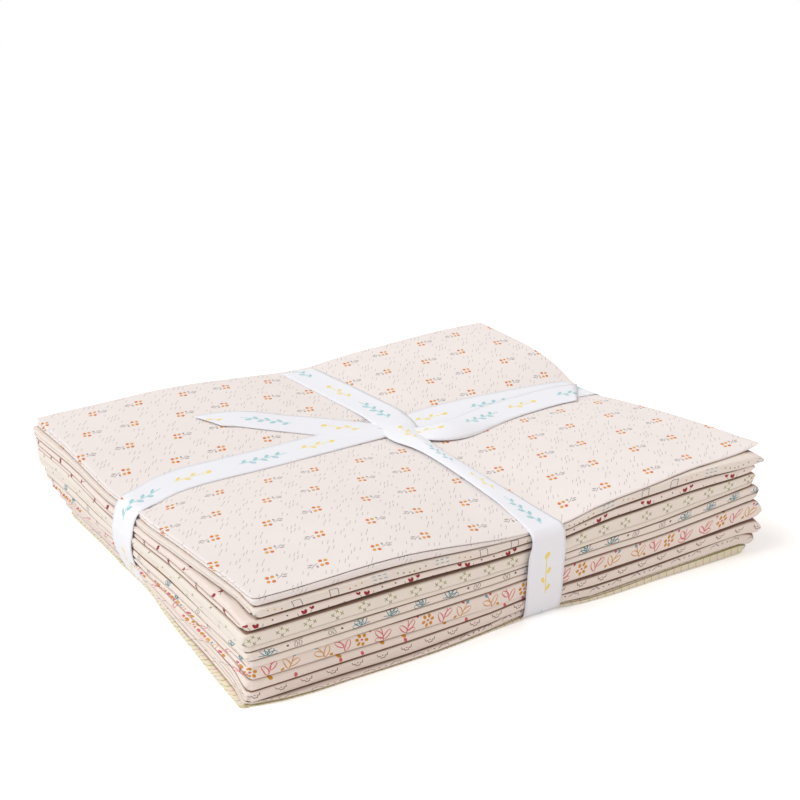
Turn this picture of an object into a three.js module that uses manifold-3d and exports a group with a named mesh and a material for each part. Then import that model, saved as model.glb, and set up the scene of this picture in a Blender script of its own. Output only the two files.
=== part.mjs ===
// A bundle of nine one-yard cuts of printed quilting cotton, tied both ways with one satin ribbon.
// Each cut is folded to a quarter of its width, then back and forth to a quarter of its length.
// Millimetres, +Z up. The origin is the middle of the footprint, on the surface that the bundle rests on.
// +X runs along the long front side, which faces -Y.
import * as THREE from "three";
import { mergeVertices } from "three/addons/utils/BufferGeometryUtils.js";
import Module from "manifold-3d";

// Driving dimensions
const clothWidth = 1117.6; // 44 inches from selvedge to selvedge
const clothLength = 914.4; // one yard
const foldsEachWay = 4;
const bundleLong = clothWidth / foldsEachWay; // along X
const bundleDeep = clothLength / foldsEachWay; // along Y
const layerThickness = 1; // one pass of the cloth, four plies; stretched a little where the pile is high
const layerGap = 0.18; // between two passes of one cut
const foldRadius = layerThickness + layerGap / 2; // round the outside of a fold
const cutGap = 0.45; // between two cuts, up the pile; a little less square to them
const ribbonThickness = 1;
const ribbonWidth = 22;
const ribbonClear = 0.55; // between the ribbon and the cloth under it, up; less where the cloth slopes
const ribbonSeat = 0.35; // between the ribbon and the cloth over it, under the bundle
const tieX = 9; // where the ribbon crosses the front edge
const tieY = 14; // where it crosses the left and right edges
const grooveDepth = ribbonThickness + ribbonSeat; // the lowest cut gives way to the ribbon under it
const grooveFlat = 13; // half width of the groove's floor
const grooveReach = 30; // half width of the groove at the surface

// Height of the pile's top. The ribbon draws the four edges in, and the corners stay puffed.
const heightPlaces = {
  left: -bundleLong / 2, leftMid: -66, tie: tieX, rightMid: 74, right: bundleLong / 2,
};
const topHeights = [
  { y: -bundleDeep / 2, left: 48.5, leftMid: 48.5, tie: 43.2, rightMid: 50.5, right: 56 },
  { y: -52, left: 49, leftMid: 50, tie: 47.5, rightMid: 51, right: 54 },
  { y: tieY, left: 47, leftMid: 49.5, tie: 49, rightMid: 51, right: 51 },
  { y: 62, left: 53.5, leftMid: 54.5, tie: 53.5, rightMid: 57.5, right: 61 },
  { y: bundleDeep / 2, left: 56.5, leftMid: 59.5, tie: 57, rightMid: 62, right: 65 },
];

// The cuts from the top down. left, tie and right are shares of the height there. The other columns say
// how far each corner or edge stands out past the nominal one.
const cuts = [
  { name: "cut_1", colour: 0xefe7e0, left: 5.1, tie: 4.8, right: 5.2,
    leftFront: 0, leftBack: 0, rightFront: 0, rightBack: 0, front: 0, back: 0 },
  { name: "cut_2", colour: 0xeadfd2, left: 5, tie: 4.8, right: 7.3,
    leftFront: -0.7, leftBack: 2.8, rightFront: 2.2, rightBack: 1, front: -0.6, back: 0.8 },
  { name: "cut_3", colour: 0xeed9d3, left: 5, tie: 4.8, right: 5.1,
    leftFront: -0.4, leftBack: 0.6, rightFront: -1.8, rightBack: 0.5, front: -0.4, back: -1 },
  { name: "cut_4", colour: 0xece2d0, left: 5.8, tie: 4.8, right: 6.5,
    leftFront: -0.2, leftBack: 0.2, rightFront: -0.6, rightBack: -1, front: 0.1, back: 0.4 },
  { name: "cut_5", colour: 0xebdcd3, left: 5.4, tie: 4.8, right: 7,
    leftFront: 0.6, leftBack: -1.2, rightFront: 1, rightBack: 0.4, front: -0.2, back: -0.6 },
  { name: "cut_6", colour: 0xecccc9, left: 5.9, tie: 4.8, right: 8,
    leftFront: 1, leftBack: -2.6, rightFront: 2.6, rightBack: 1.4, front: 0.3, back: 0.6 },
  { name: "cut_7", colour: 0xe9d6cc, left: 6, tie: 4.8, right: 5.8,
    leftFront: 1, leftBack: -5.6, rightFront: 1.6, rightBack: -1, front: 0.3, back: -1.4 },
  { name: "cut_8", colour: 0xead3cd, left: 5, tie: 4.8, right: 5.5,
    leftFront: 1.2, leftBack: -9, rightFront: -0.6, rightBack: 0.6, front: -0.5, back: -0.4 },
  { name: "cut_9", colour: 0xe2d8b9, left: 5, tie: 4.8, right: 5.6,
    leftFront: 1.2, leftBack: -12.5, rightFront: -2.4, rightBack: -1.6, front: -0.8, back: -1.8 },
];

// Where the solids have vertices: along the bundle and across it, as shares of its length and depth.
const alongShares = [0, 0.17, 0.335, 0.485, 0.575, 0.715, 0.86, 1];
const acrossShares = [0, 0.24, 0.48, 0.64, 0.83, 1];
const grooveAlong = [0, 0.21, 0.42, 0.485, 0.58, 0.645, 0.82, 1];
const grooveAcross = [0, 0.2, 0.43, 0.505, 0.62, 0.695, 0.85, 1];
const arcSteps = 4; // straight pieces round each fold
const mergeDistance = 1e-4; // vertices nearer than this are one

const ribbonColour = 0xf4f7fb;
const underZ = ribbonThickness / 2; // middle of the ribbon's thickness where the bundle stands on it

// The long turn past its crossing of the top: down the right side, under, and up the left side.
const longSides = [
  { x: 142.1, z: 51 }, { x: 142.8, z: 47 }, { x: 143.2, z: 30 }, { x: 143, z: 16 },
  { x: 142.2, z: 6 }, { x: 141.2, z: 1.7 }, { x: 139.2, z: underZ },
  { x: tieX, z: underZ },
  { x: -135.6, z: underZ }, { x: -137.6, z: 1.6 }, { x: -138.9, z: 5 }, { x: -141.2, z: 16 },
  { x: -142.4, z: 26 }, { x: -142.9, z: 38 }, { x: -142.3, z: 45.5 },
];

// The short turn over the top, front to back. It bows a little, and it is drawn narrow at the knot.
// lift is how far it stands clear of the cloth.
const shortOver = [
  { y: -112.4, x: 9, width: 19, lift: 0 },
  { y: -96, x: 8.5, width: 18, lift: 0.6 },
  { y: -72, x: 9, width: 16.5, lift: 2 },
  { y: -44, x: 10.5, width: 16, lift: 3 },
  { y: -22, x: 12.5, width: 15, lift: 2.6 },
  { y: -6, x: 14, width: 14, lift: 2 },
  { y: 6, x: 14.5, width: 16, lift: 1.6 },
  { y: 20, x: 15.5, width: 20, lift: 1.2 },
  { y: 34, x: 17, width: 22, lift: 0.8 },
  { y: 55, x: 17.5, width: 22, lift: 0.3 },
  { y: 80, x: 16, width: 22, lift: 0 },
  { y: 112.4, x: 11.5, width: 21, lift: 0 },
];

// Its other stretches: down the back, under, and up the front.
const shortSides = [
  { x: 11.5, y: 115.2, z: 58.2 }, { x: 11, y: 116.5, z: 55.8 }, { x: 10.5, y: 116.9, z: 48 },
  { x: 10, y: 117, z: 30 }, { x: 9.5, y: 116.6, z: 7 }, { x: 9.5, y: 115.3, z: 1.7 },
  { x: 9.5, y: 113.6, z: underZ },
  { x: tieX, y: tieY, z: underZ },
  { x: 8, y: -114.4, z: underZ }, { x: 8, y: -116.1, z: 1.7 }, { x: 8, y: -116.6, z: 6 },
  { x: 8, y: -116.7, z: 20 }, { x: 8.5, y: -116.8, z: 36 }, { x: 9, y: -116.5, z: 42.4 },
  { x: 9, y: -115.2, z: 44.8 },
];

// The free ends, from the knot to their slanting cuts. turn is the way across the ribbon, from +X.
const rightTail = [
  { x: 14, y: 8, lift: 3, width: 16, turn: 82 },
  { x: 24, y: 2, lift: 5, width: 18, turn: 80 },
  { x: 34, y: -0.5, lift: 5.2, width: 21, turn: 88 },
  { x: 48, y: 1, lift: 3.6, width: 22, turn: 97 },
  { x: 70, y: 5, lift: 2.2, width: 22, turn: 99 },
  { x: 98, y: 8.5, lift: 2, width: 22, turn: 96 },
  { x: 126, y: 8, lift: 2.2, width: 31, turn: 52 },
];

const leftTail = [
  { x: 12, y: 8, lift: 3, width: 16, turn: -130 },
  { x: 2, y: 18, lift: 3.4, width: 20, turn: -130 },
  { x: -14, y: 34, lift: 2.6, width: 22, turn: -132 },
  { x: -32, y: 52, lift: 2, width: 22, turn: -133 },
  { x: -50, y: 68, lift: 1.8, width: 22, turn: -136 },
  { x: -56, y: 77, lift: 1.6, width: 26, turn: -178 },
];

const knotRadii = { x: 9.5, y: 12, z: 3.2 };
const knotMiddle = { x: 15.5, y: 3, lift: 4.2 };

// A smooth curve through values at rising places.
function throughPoints(places, values, at) {
  const last = places.length - 1;
  let i = 0;
  while (i < last - 1 && at > places[i + 1]) i += 1;
  const slope = (k) => {
    const low = Math.max(k - 1, 0);
    const high = Math.min(k + 1, last);
    return (values[high] - values[low]) / (places[high] - places[low]);
  };
  const span = places[i + 1] - places[i];
  const t = THREE.MathUtils.clamp((at - places[i]) / span, 0, 1);
  const t2 = t * t;
  const t3 = t2 * t;
  return (
    (2 * t3 - 3 * t2 + 1) * values[i] +
    (t3 - 2 * t2 + t) * span * slope(i) +
    (3 * t2 - 2 * t3) * values[i + 1] +
    (t3 - t2) * span * slope(i + 1)
  );
}

function pileTop(x, y) {
  const columns = Object.keys(heightPlaces);
  const places = Object.values(heightPlaces);
  const alongRow = topHeights.map((row) => throughPoints(places, columns.map((c) => row[c]), x));
  return throughPoints(topHeights.map((row) => row.y), alongRow, y);
}

// The pile's top as its flat facets have it, so that the ribbon can follow it.
function facetTop(x, y) {
  const cell = (shares, at) => {
    let i = 0;
    while (i < shares.length - 2 && at > shares[i + 1]) i += 1;
    return [shares[i], shares[i + 1], (at - shares[i]) / (shares[i + 1] - shares[i])];
  };
  const [a0, a1, s] = cell(alongShares, THREE.MathUtils.clamp(x / bundleLong + 0.5, 0, 1));
  const [b0, b1, t] = cell(acrossShares, THREE.MathUtils.clamp(y / bundleDeep + 0.5, 0, 1));
  const at = (a, b) => pileTop((a - 0.5) * bundleLong, (b - 0.5) * bundleDeep);
  const near = at(a0, b0);
  const far = at(a1, b1);
  const side = s > t ? at(a1, b0) : at(a0, b1);
  const [first, second] = s > t ? [s, t] : [t, s];
  return near + first * (side - near) + second * (far - side);
}

// How far the underside rises at the ribbon that runs under it.
function groove(x, y) {
  const rise = (distance) => 1 - THREE.MathUtils.clamp(
    (Math.abs(distance) - grooveFlat) / (grooveReach - grooveFlat), 0, 1);
  return grooveDepth * Math.max(rise(x - tieX), rise(y - tieY));
}

// The share of the pile's height that lies below the top of a cut, at a place along the bundle.
function shareBelow(index, x) {
  const half = bundleLong / 2;
  const thickness = (cut) => x < tieX
    ? THREE.MathUtils.mapLinear(x, -half, tieX, cut.left, cut.tie)
    : THREE.MathUtils.mapLinear(x, tieX, half, cut.tie, cut.right);
  const total = (list) => list.reduce((sum, cut) => sum + thickness(cut), 0);
  return total(cuts.slice(index)) / total(cuts);
}

// The outline of one cut's back-and-forth section, counter-clockwise: along is Y, up is Z. Of its four
// passes, each is joined to the next at the front, the back and the front again.
function foldedSection(shares) {
  const pitch = layerThickness + layerGap;
  const reach = bundleDeep / 2 - foldRadius;
  const ys = shares.map((share) => THREE.MathUtils.lerp(-reach, reach, share));
  const run = (level, forward) => {
    const points = ys.map((y) => new THREE.Vector2(y, level));
    if (!forward) points.reverse();
    return points;
  };
  const foldRound = (level, side, upward) => {
    const points = [];
    for (let i = 1; i < arcSteps; i += 1) {
      const angle = Math.PI * (i / arcSteps - 0.5) * (upward ? 1 : -1);
      const out = reach + foldRadius * Math.cos(angle);
      points.push(new THREE.Vector2(side * out, level + foldRadius * Math.sin(angle)));
    }
    return points;
  };
  const bottom = (pass) => pass * pitch;
  const top = (pass) => pass * pitch + layerThickness;
  const foldLevel = (pass) => top(pass) + layerGap / 2; // middle of the fold between a pass and the next
  return [
    ...run(bottom(0), true),
    ...run(top(0), false),
    ...run(bottom(1), true),
    ...foldRound(foldLevel(1), 1, true),
    ...run(top(2), false),
    ...run(bottom(3), true),
    ...run(top(3), false),
    ...foldRound(foldLevel(2), -1, false),
    ...run(bottom(2), true),
    ...run(top(1), false),
    ...foldRound(foldLevel(0), -1, false),
  ];
}

// A body swept through rings of points with the same outline. The outline closes on itself, and the ends
// are flat caps. Each quad is split on the diagonal that runs towards the right and the back, so that
// neighbouring passes have parallel facets.
function sweptBody(rings, outline) {
  const size = outline.length;
  const faces = [];
  for (let i = 0; i < rings.length - 1; i += 1) {
    for (let j = 0; j < size; j += 1) {
      const next = (j + 1) % size;
      const [a, b] = [i * size + j, i * size + next];
      const [c, d] = [b + size, a + size];
      if (outline[next].x > outline[j].x) faces.push(a, b, c, a, c, d);
      else faces.push(a, b, d, b, c, d);
    }
  }
  const capOf = (ring) => {
    const outlineOfRing = ring.map((point) => new THREE.Vector2(point.y, point.z));
    return THREE.ShapeUtils.triangulateShape(outlineOfRing, []);
  };
  const end = (rings.length - 1) * size;
  for (const [a, b, c] of capOf(rings[0])) faces.push(a, c, b);
  for (const [a, b, c] of capOf(rings[rings.length - 1])) faces.push(end + a, end + b, end + c);
  return new THREE.BufferGeometry().setFromPoints(rings.flat()).setIndex(faces);
}

// A folded cut: its section swept along the bundle, each point settled into its place in the pile.
function foldedCut(index) {
  const cut = cuts[index];
  const lowest = index === cuts.length - 1;
  const alongList = lowest ? grooveAlong : alongShares;
  const outline = foldedSection(lowest ? grooveAcross : acrossShares);
  const sectionHeight = foldsEachWay * layerThickness + (foldsEachWay - 1) * layerGap;
  const straightReach = bundleDeep / 2 - foldRadius;
  const rings = alongList.map((share) => outline.map((point) => {
    const t = THREE.MathUtils.clamp(point.x / bundleDeep + 0.5, 0, 1);
    let x = (share - 0.5) * bundleLong;
    if (share === 0) x -= THREE.MathUtils.lerp(cut.leftFront, cut.leftBack, t);
    if (share === 1) x += THREE.MathUtils.lerp(cut.rightFront, cut.rightBack, t);
    let y = point.x;
    if (y <= -straightReach) y -= cut.front;
    if (y >= straightReach) y += cut.back;
    const height = pileTop(x, y);
    const low = lowest ? groove(x, y) : height * shareBelow(index + 1, x) + cutGap;
    const high = height * shareBelow(index, x);
    return new THREE.Vector3(x, y, THREE.MathUtils.lerp(low, high, point.y / sectionHeight));
  }));
  return sweptBody(rings, outline);
}

// A strip of ribbon through stations. Each has the middle of the ribbon's section, its width and the
// direction across it; thickness stands square to both.
function ribbonStrip(stations, closed) {
  const count = stations.length;
  const corners = [];
  stations.forEach((station, i) => {
    const before = stations[closed ? (i + count - 1) % count : Math.max(i - 1, 0)].middle;
    const after = stations[closed ? (i + 1) % count : Math.min(i + 1, count - 1)].middle;
    const along = after.clone().sub(before).normalize();
    const across = station.across.clone().normalize();
    const up = along.clone().cross(across).normalize().multiplyScalar(ribbonThickness / 2);
    const side = across.multiplyScalar(station.width / 2);
    for (const [a, b] of [[-1, -1], [1, -1], [1, 1], [-1, 1]]) {
      corners.push(station.middle.clone().addScaledVector(side, a).addScaledVector(up, b));
    }
  });
  const faces = [];
  const spans = closed ? count : count - 1;
  for (let i = 0; i < spans; i += 1) {
    for (let k = 0; k < 4; k += 1) {
      const a = i * 4 + k;
      const b = i * 4 + ((k + 1) % 4);
      const c = ((i + 1) % count) * 4 + ((k + 1) % 4);
      const d = ((i + 1) % count) * 4 + k;
      faces.push(a, b, c, a, c, d);
    }
  }
  if (!closed) {
    const end = (count - 1) * 4;
    faces.push(0, 2, 1, 0, 3, 2, end, end + 1, end + 2, end, end + 2, end + 3);
  }
  return new THREE.BufferGeometry().setFromPoints(corners).setIndex(faces);
}

// A station that lies over the cloth, tilted as the cloth is and lifted clear of it.
function overCloth(x, y, lift, width, across) {
  const edge = (side) => facetTop(x + side * across.x * width / 2, y + side * across.y * width / 2);
  const cloth = Math.max(facetTop(x, y), (edge(-1) + edge(1)) / 2);
  const z = cloth + ribbonClear + ribbonThickness / 2 + lift;
  const tilted = new THREE.Vector3(across.x, across.y, (edge(1) - edge(-1)) / width);
  return { middle: new THREE.Vector3(x, y, z), width, across: tilted };
}

// The ribbon's turn along the bundle. Over the top it has a station at each edge of the cloth's facets,
// one between, and one just past each end.
function longTurn() {
  const across = new THREE.Vector3(0, 1, 0);
  const edges = alongShares.map((share) => (share - 0.5) * bundleLong);
  const between = edges.slice(1).map((edge, i) => (edge + edges[i]) / 2);
  const pastEnd = bundleLong / 2 + ribbonThickness;
  const over = [...edges, ...between, -pastEnd, pastEnd].sort((a, b) => a - b);
  return ribbonStrip([
    ...over.map((x) => overCloth(x, tieY, 0, ribbonWidth, across)),
    ...longSides.map(({ x, z }) => ({ middle: new THREE.Vector3(x, tieY, z), width: ribbonWidth, across })),
  ], true);
}

// The ribbon's turn across the bundle.
function shortTurn() {
  const across = new THREE.Vector3(-1, 0, 0);
  const width = ribbonWidth - 1; // drawn in a little by the knot all the way round
  return ribbonStrip([
    ...shortOver.map((row) => overCloth(row.x, row.y, row.lift, row.width, across)),
    ...shortSides.map(({ x, y, z }) => ({ middle: new THREE.Vector3(x, y, z), width, across })),
  ], true);
}

function tail(route) {
  return ribbonStrip(route.map(({ x, y, lift, width, turn }) => {
    const angle = THREE.MathUtils.degToRad(turn);
    return overCloth(x, y, lift, width, new THREE.Vector3(Math.cos(angle), Math.sin(angle), 0));
  }), false);
}

// The knot: a soft flattened lump where the two ends cross and pass under each other.
function knot() {
  const geometry = new THREE.SphereGeometry(1, 14, 8);
  geometry.rotateX(Math.PI / 2);
  geometry.scale(knotRadii.x, knotRadii.y, knotRadii.z);
  const z = facetTop(knotMiddle.x, knotMiddle.y) + knotMiddle.lift;
  geometry.translate(knotMiddle.x, knotMiddle.y, z);
  return geometry;
}

const wasm = await Module();
wasm.setup();

function toSolid(geometry) {
  const bare = new THREE.BufferGeometry();
  bare.setAttribute("position", geometry.getAttribute("position"));
  if (geometry.index) bare.setIndex(geometry.index);
  const merged = mergeVertices(bare, mergeDistance);
  return new wasm.Manifold(new wasm.Mesh({
    numProp: 3,
    vertProperties: merged.getAttribute("position").array,
    triVerts: new Uint32Array(merged.index.array),
  }));
}

function toGeometry(solid) {
  const mesh = solid.getMesh();
  return new THREE.BufferGeometry()
    .setAttribute("position", new THREE.BufferAttribute(mesh.vertProperties, 3))
    .setIndex(new THREE.BufferAttribute(mesh.triVerts, 1));
}

const bundle = new THREE.Group();

cuts.forEach((cut, index) => {
  const cotton = new THREE.MeshStandardMaterial({ color: cut.colour, roughness: 0.9, metalness: 0 });
  const mesh = new THREE.Mesh(foldedCut(index), cotton);
  mesh.name = cut.name;
  bundle.add(mesh);
});

const ribbonPieces = [longTurn(), shortTurn(), tail(rightTail), tail(leftTail), knot()];
const ribbonSolid = ribbonPieces.map(toSolid).reduce((whole, piece) => whole.add(piece));
const satin = new THREE.MeshStandardMaterial({ color: ribbonColour, roughness: 0.45, metalness: 0 });
const ribbon = new THREE.Mesh(toGeometry(ribbonSolid), satin);
ribbon.name = "ribbon_tie";
bundle.add(ribbon);

export default bundle;
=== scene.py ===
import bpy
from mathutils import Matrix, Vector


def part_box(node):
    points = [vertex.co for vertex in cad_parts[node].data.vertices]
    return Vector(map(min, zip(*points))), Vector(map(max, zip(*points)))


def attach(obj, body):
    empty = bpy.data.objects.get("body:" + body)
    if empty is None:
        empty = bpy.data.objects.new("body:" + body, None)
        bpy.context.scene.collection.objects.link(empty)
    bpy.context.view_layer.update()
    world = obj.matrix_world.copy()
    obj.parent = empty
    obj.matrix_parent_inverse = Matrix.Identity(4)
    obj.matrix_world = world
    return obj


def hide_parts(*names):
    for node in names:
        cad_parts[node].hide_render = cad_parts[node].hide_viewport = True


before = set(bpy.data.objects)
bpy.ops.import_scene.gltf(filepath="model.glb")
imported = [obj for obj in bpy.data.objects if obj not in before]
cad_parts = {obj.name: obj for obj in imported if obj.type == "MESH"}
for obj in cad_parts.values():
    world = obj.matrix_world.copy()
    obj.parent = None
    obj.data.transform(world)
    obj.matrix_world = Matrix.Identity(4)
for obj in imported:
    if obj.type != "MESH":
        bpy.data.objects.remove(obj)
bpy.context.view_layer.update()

import math
import bpy
import numpy as np
from mathutils import Vector

# A bundle of nine one-yard cuts of printed quilting cotton, tied both ways with one satin ribbon.
# Sizes in the tables are in millimetres. +X runs along the long front side, which faces -Y.
mm = 0.001
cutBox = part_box("cut_1")
halfLong = (cutBox[1][0] - cutBox[0][0]) / 2 / mm
halfDeep = (cutBox[1][1] - cutBox[0][1]) / 2 / mm
quarterWidth = 279.4  # 44 in cloth, folded in four
quarterLength = 228.6  # one yard, folded in four


def ease(t):
    t = np.clip(t, 0, 1)
    return t * t * (3 - 2 * t)


def curveThrough(places, values, at):
    # A smooth curve through values, which may be numbers or arrays shaped like at, at rising places.
    at = np.asarray(at, float)
    places = np.asarray(places, float)
    held = np.stack([np.broadcast_to(value, at.shape) for value in values]).astype(float)
    gaps = np.diff(places).reshape((-1,) + (1,) * at.ndim)
    rises = np.diff(held, axis=0) / gaps
    inner = (rises[:-1] * gaps[1:] + rises[1:] * gaps[:-1]) / (gaps[1:] + gaps[:-1])
    slopes = np.concatenate([rises[:1], inner, rises[-1:]])
    first = np.clip(np.searchsorted(places, at, side="right") - 1, 0, len(places) - 2)
    gap = places[first + 1] - places[first]
    t = np.clip((at - places[first]) / gap, 0, 1)
    low, high, slopeLow, slopeHigh = (
        np.take_along_axis(table, (first + step)[None], 0)[0]
        for table, step in ((held, 0), (held, 1), (slopes, 0), (slopes, 1))
    )
    return (
        low * (1 + 2 * t) * (1 - t) ** 2 + slopeLow * gap * t * (1 - t) ** 2
        + high * t * t * (3 - 2 * t) + slopeHigh * gap * t * t * (t - 1)
    )


def hollow(distance, reach):
    # 1 in the middle, fading softly over reach.
    return np.exp(-((distance / reach) ** 2))


def wander(rng, along, height, waves=(230, 117, 61)):
    # A line that a hand left a little uneven.
    total = 0.0
    for wave in waves:
        lean, start = rng.uniform(0.5, 1), rng.uniform(0, 2 * math.pi)
        total = total + lean * height * (wave / waves[0]) ** 0.6 * np.sin(along * 2 * math.pi / wave + start)
    return total


# The pile: its top, and how the nine cuts share its height.

pileTop = {
    "x": [-139.7, -116, -66, -4, 17, 41, 74, 97, 127, 139.7],
    "y": [-114.3, -101, -52, 14, 62, 114.3],
    "height": [
        [47.4, 47.3, 48.2, 42.4, 42.2, 46.9, 50.7, 53.0, 54.1, 55.6],
        [48.2, 48.5, 49.4, 45.0, 44.6, 48.2, 51.2, 53.2, 54.7, 55.4],
        [48.6, 49.6, 50.3, 48.0, 47.8, 49.4, 51.0, 52.2, 53.7, 54.0],
        [46.8, 48.3, 49.6, 49.2, 49.2, 50.0, 51.0, 51.2, 51.3, 51.0],
        [53.2, 54.0, 54.6, 53.7, 53.6, 55.2, 57.5, 59.0, 60.6, 61.0],
        [56.3, 57.6, 59.6, 57.3, 57.3, 59.6, 62.0, 63.8, 65.0, 65.2],
    ],
}

# Soft troughs (depth under 0) and ridges pressed into the top: start, end, half width, depth.
creases = [
    ((-100, -30), (-30, -88), 13, 0.5),
    ((-128, -70), (-70, -104), 12, -0.5),
    ((-60, 46), (-12, 96), 15, 0.6),
    ((34, -40), (112, -92), 15, 0.6),
    ((50, 46), (118, 78), 16, -0.6),
    ((-112, 32), (-60, 84), 14, -0.5),
    ((22, -60), (30, -108), 9, -0.6),
    ((-12, -64), (-16, -108), 9, -0.5),
    ((60, -20), (130, -34), 14, 0.5),
    ((92, -112), (136, -78), 10, -0.6),
]

ribbonTie = {
    "x": 9, "y": 14,  # where its two turns lie
    "width": 22,
    "thickness": 0.24,
    # how far each turn presses the top down, its half width there, and how far beside it that reaches
    "pressLong": (0.7, 11, 9),
    "pressShort": (0.5, 9, 9),
    "pressBehind": (20, 20),  # the short turn presses only behind this place along Y, more and more over this
    # how far the long turn draws in the left and right sides: its middle, its reach, the amount for each cut
    "pull": {
        "left": (4, 19, [2.8, 1.6, 0.8, 0.3, 0, 0, 0.2, 0.6, 0.8]),
        "right": (15, 17, [2.4, 1.4, 0.8, 0.4, 0, 0, 0, 0, 0]),
    },
    "sideDip": (0.35, 116, 20),  # the top sinks by this share of that, from this far out, over this
    # the lowest cut gives way by this much, as far as this from each middle, then less and less over this
    "groove": (1.1, 12, 14),
}
creaseFade = 0.3  # the share of a crease's length over which each of its ends fades


def topRelief(x, y):
    total = 0.0
    for (startX, startY), (endX, endY), reach, depth in creases:
        alongX, alongY = endX - startX, endY - startY
        length = math.hypot(alongX, alongY)
        share = ((x - startX) * alongX + (y - startY) * alongY) / length**2
        across = ((x - startX) * alongY - (y - startY) * alongX) / length
        fade = ease(share / creaseFade) * ease((1 - share) / creaseFade)
        total = total + depth * hollow(across, reach) * fade
    # the cloth is drawn down along both turns of the ribbon
    depth, halfWidth, reach = ribbonTie["pressLong"]
    total = total - depth * hollow(np.maximum(np.abs(y - ribbonTie["y"]) - halfWidth, 0), reach)
    depth, halfWidth, reach = ribbonTie["pressShort"]
    start, over = ribbonTie["pressBehind"]
    beside = np.maximum(np.abs(x - ribbonTie["x"]) - halfWidth, 0)
    total = total - depth * hollow(beside, reach) * ease((y - start) / over)
    dip, start, over = ribbonTie["sideDip"]
    for side, (middle, reach, amounts) in ribbonTie["pull"].items():
        out = x if side == "right" else -x
        total = total - dip * amounts[0] * hollow(y - middle, reach) * ease((out - start) / over)
    return total


def topHeight(x, y):
    rows = [curveThrough(pileTop["x"], row, x) for row in pileTop["height"]]
    return curveThrough(pileTop["y"], rows, y)


def underHeight(x, y):
    depth, start, over = ribbonTie["groove"]
    beside = np.minimum(np.abs(y - ribbonTie["y"]), np.abs(x - ribbonTie["x"]))
    return depth * (1 - ease((beside - start) / over))


# Shares of the pile's height under each cut's bottom, from cut 1 to cut 8.
# Over the pile: three places along X by three along Y. At the front edge: five places along X.
shareX = [-139.7, 9, 139.7]
shareY = [-98, 14, 114.3]
shareFrontX = [-116, -60, 17, 75, 127]
shareFrontReach = (1, 13)  # the front edge's shares hold this far in, then fade into the pile's over this
sharesUnder = [
    {"pile": [[0.935, 0.915, 0.945], [0.92, 0.9, 0.9], [0.925, 0.9, 0.905]],
     "front": [0.92, 0.909, 0.972, 0.978, 0.978]},
    {"pile": [[0.857, 0.83, 0.86], [0.855, 0.8, 0.8], [0.84, 0.8, 0.805]],
     "front": [0.822, 0.802, 0.893, 0.874, 0.867]},
    {"pile": [[0.72, 0.73, 0.775], [0.735, 0.69, 0.7], [0.735, 0.69, 0.7]],
     "front": [0.716, 0.708, 0.806, 0.775, 0.783]},
    {"pile": [[0.54, 0.6, 0.66], [0.6, 0.58, 0.59], [0.56, 0.58, 0.59]],
     "front": [0.5445, 0.543, 0.633, 0.59, 0.657]},
    {"pile": [[0.39, 0.47, 0.53], [0.45, 0.46, 0.47], [0.425, 0.46, 0.47]],
     "front": [0.398, 0.397, 0.486, 0.454, 0.524]},
    {"pile": [[0.235, 0.33, 0.37], [0.32, 0.345, 0.35], [0.31, 0.345, 0.35]],
     "front": [0.148, 0.172, 0.256, 0.276, 0.333]},
    {"pile": [[0.14, 0.2, 0.25], [0.2, 0.23, 0.235], [0.2, 0.23, 0.235]],
     "front": [0.032, 0.042, 0.138, 0.16, 0.23]},
    {"pile": [[0.065, 0.1, 0.12], [0.095, 0.115, 0.12], [0.1, 0.115, 0.12]],
     "front": [0.006, 0.01, 0.03, 0.075, 0.113]},
]


def shareUnder(number, x, y):
    if number < 0:
        return np.ones_like(x)
    if number > 7:
        return np.zeros_like(x)
    table = sharesUnder[number]
    rows = [curveThrough(shareX, row, x) for row in table["pile"]]
    inside = curveThrough(shareY, rows, y)
    edge = curveThrough(shareFrontX, table["front"], x)
    start, over = shareFrontReach
    return inside + (edge - inside) * (1 - ease((y + halfDeep - start) / over))


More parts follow.
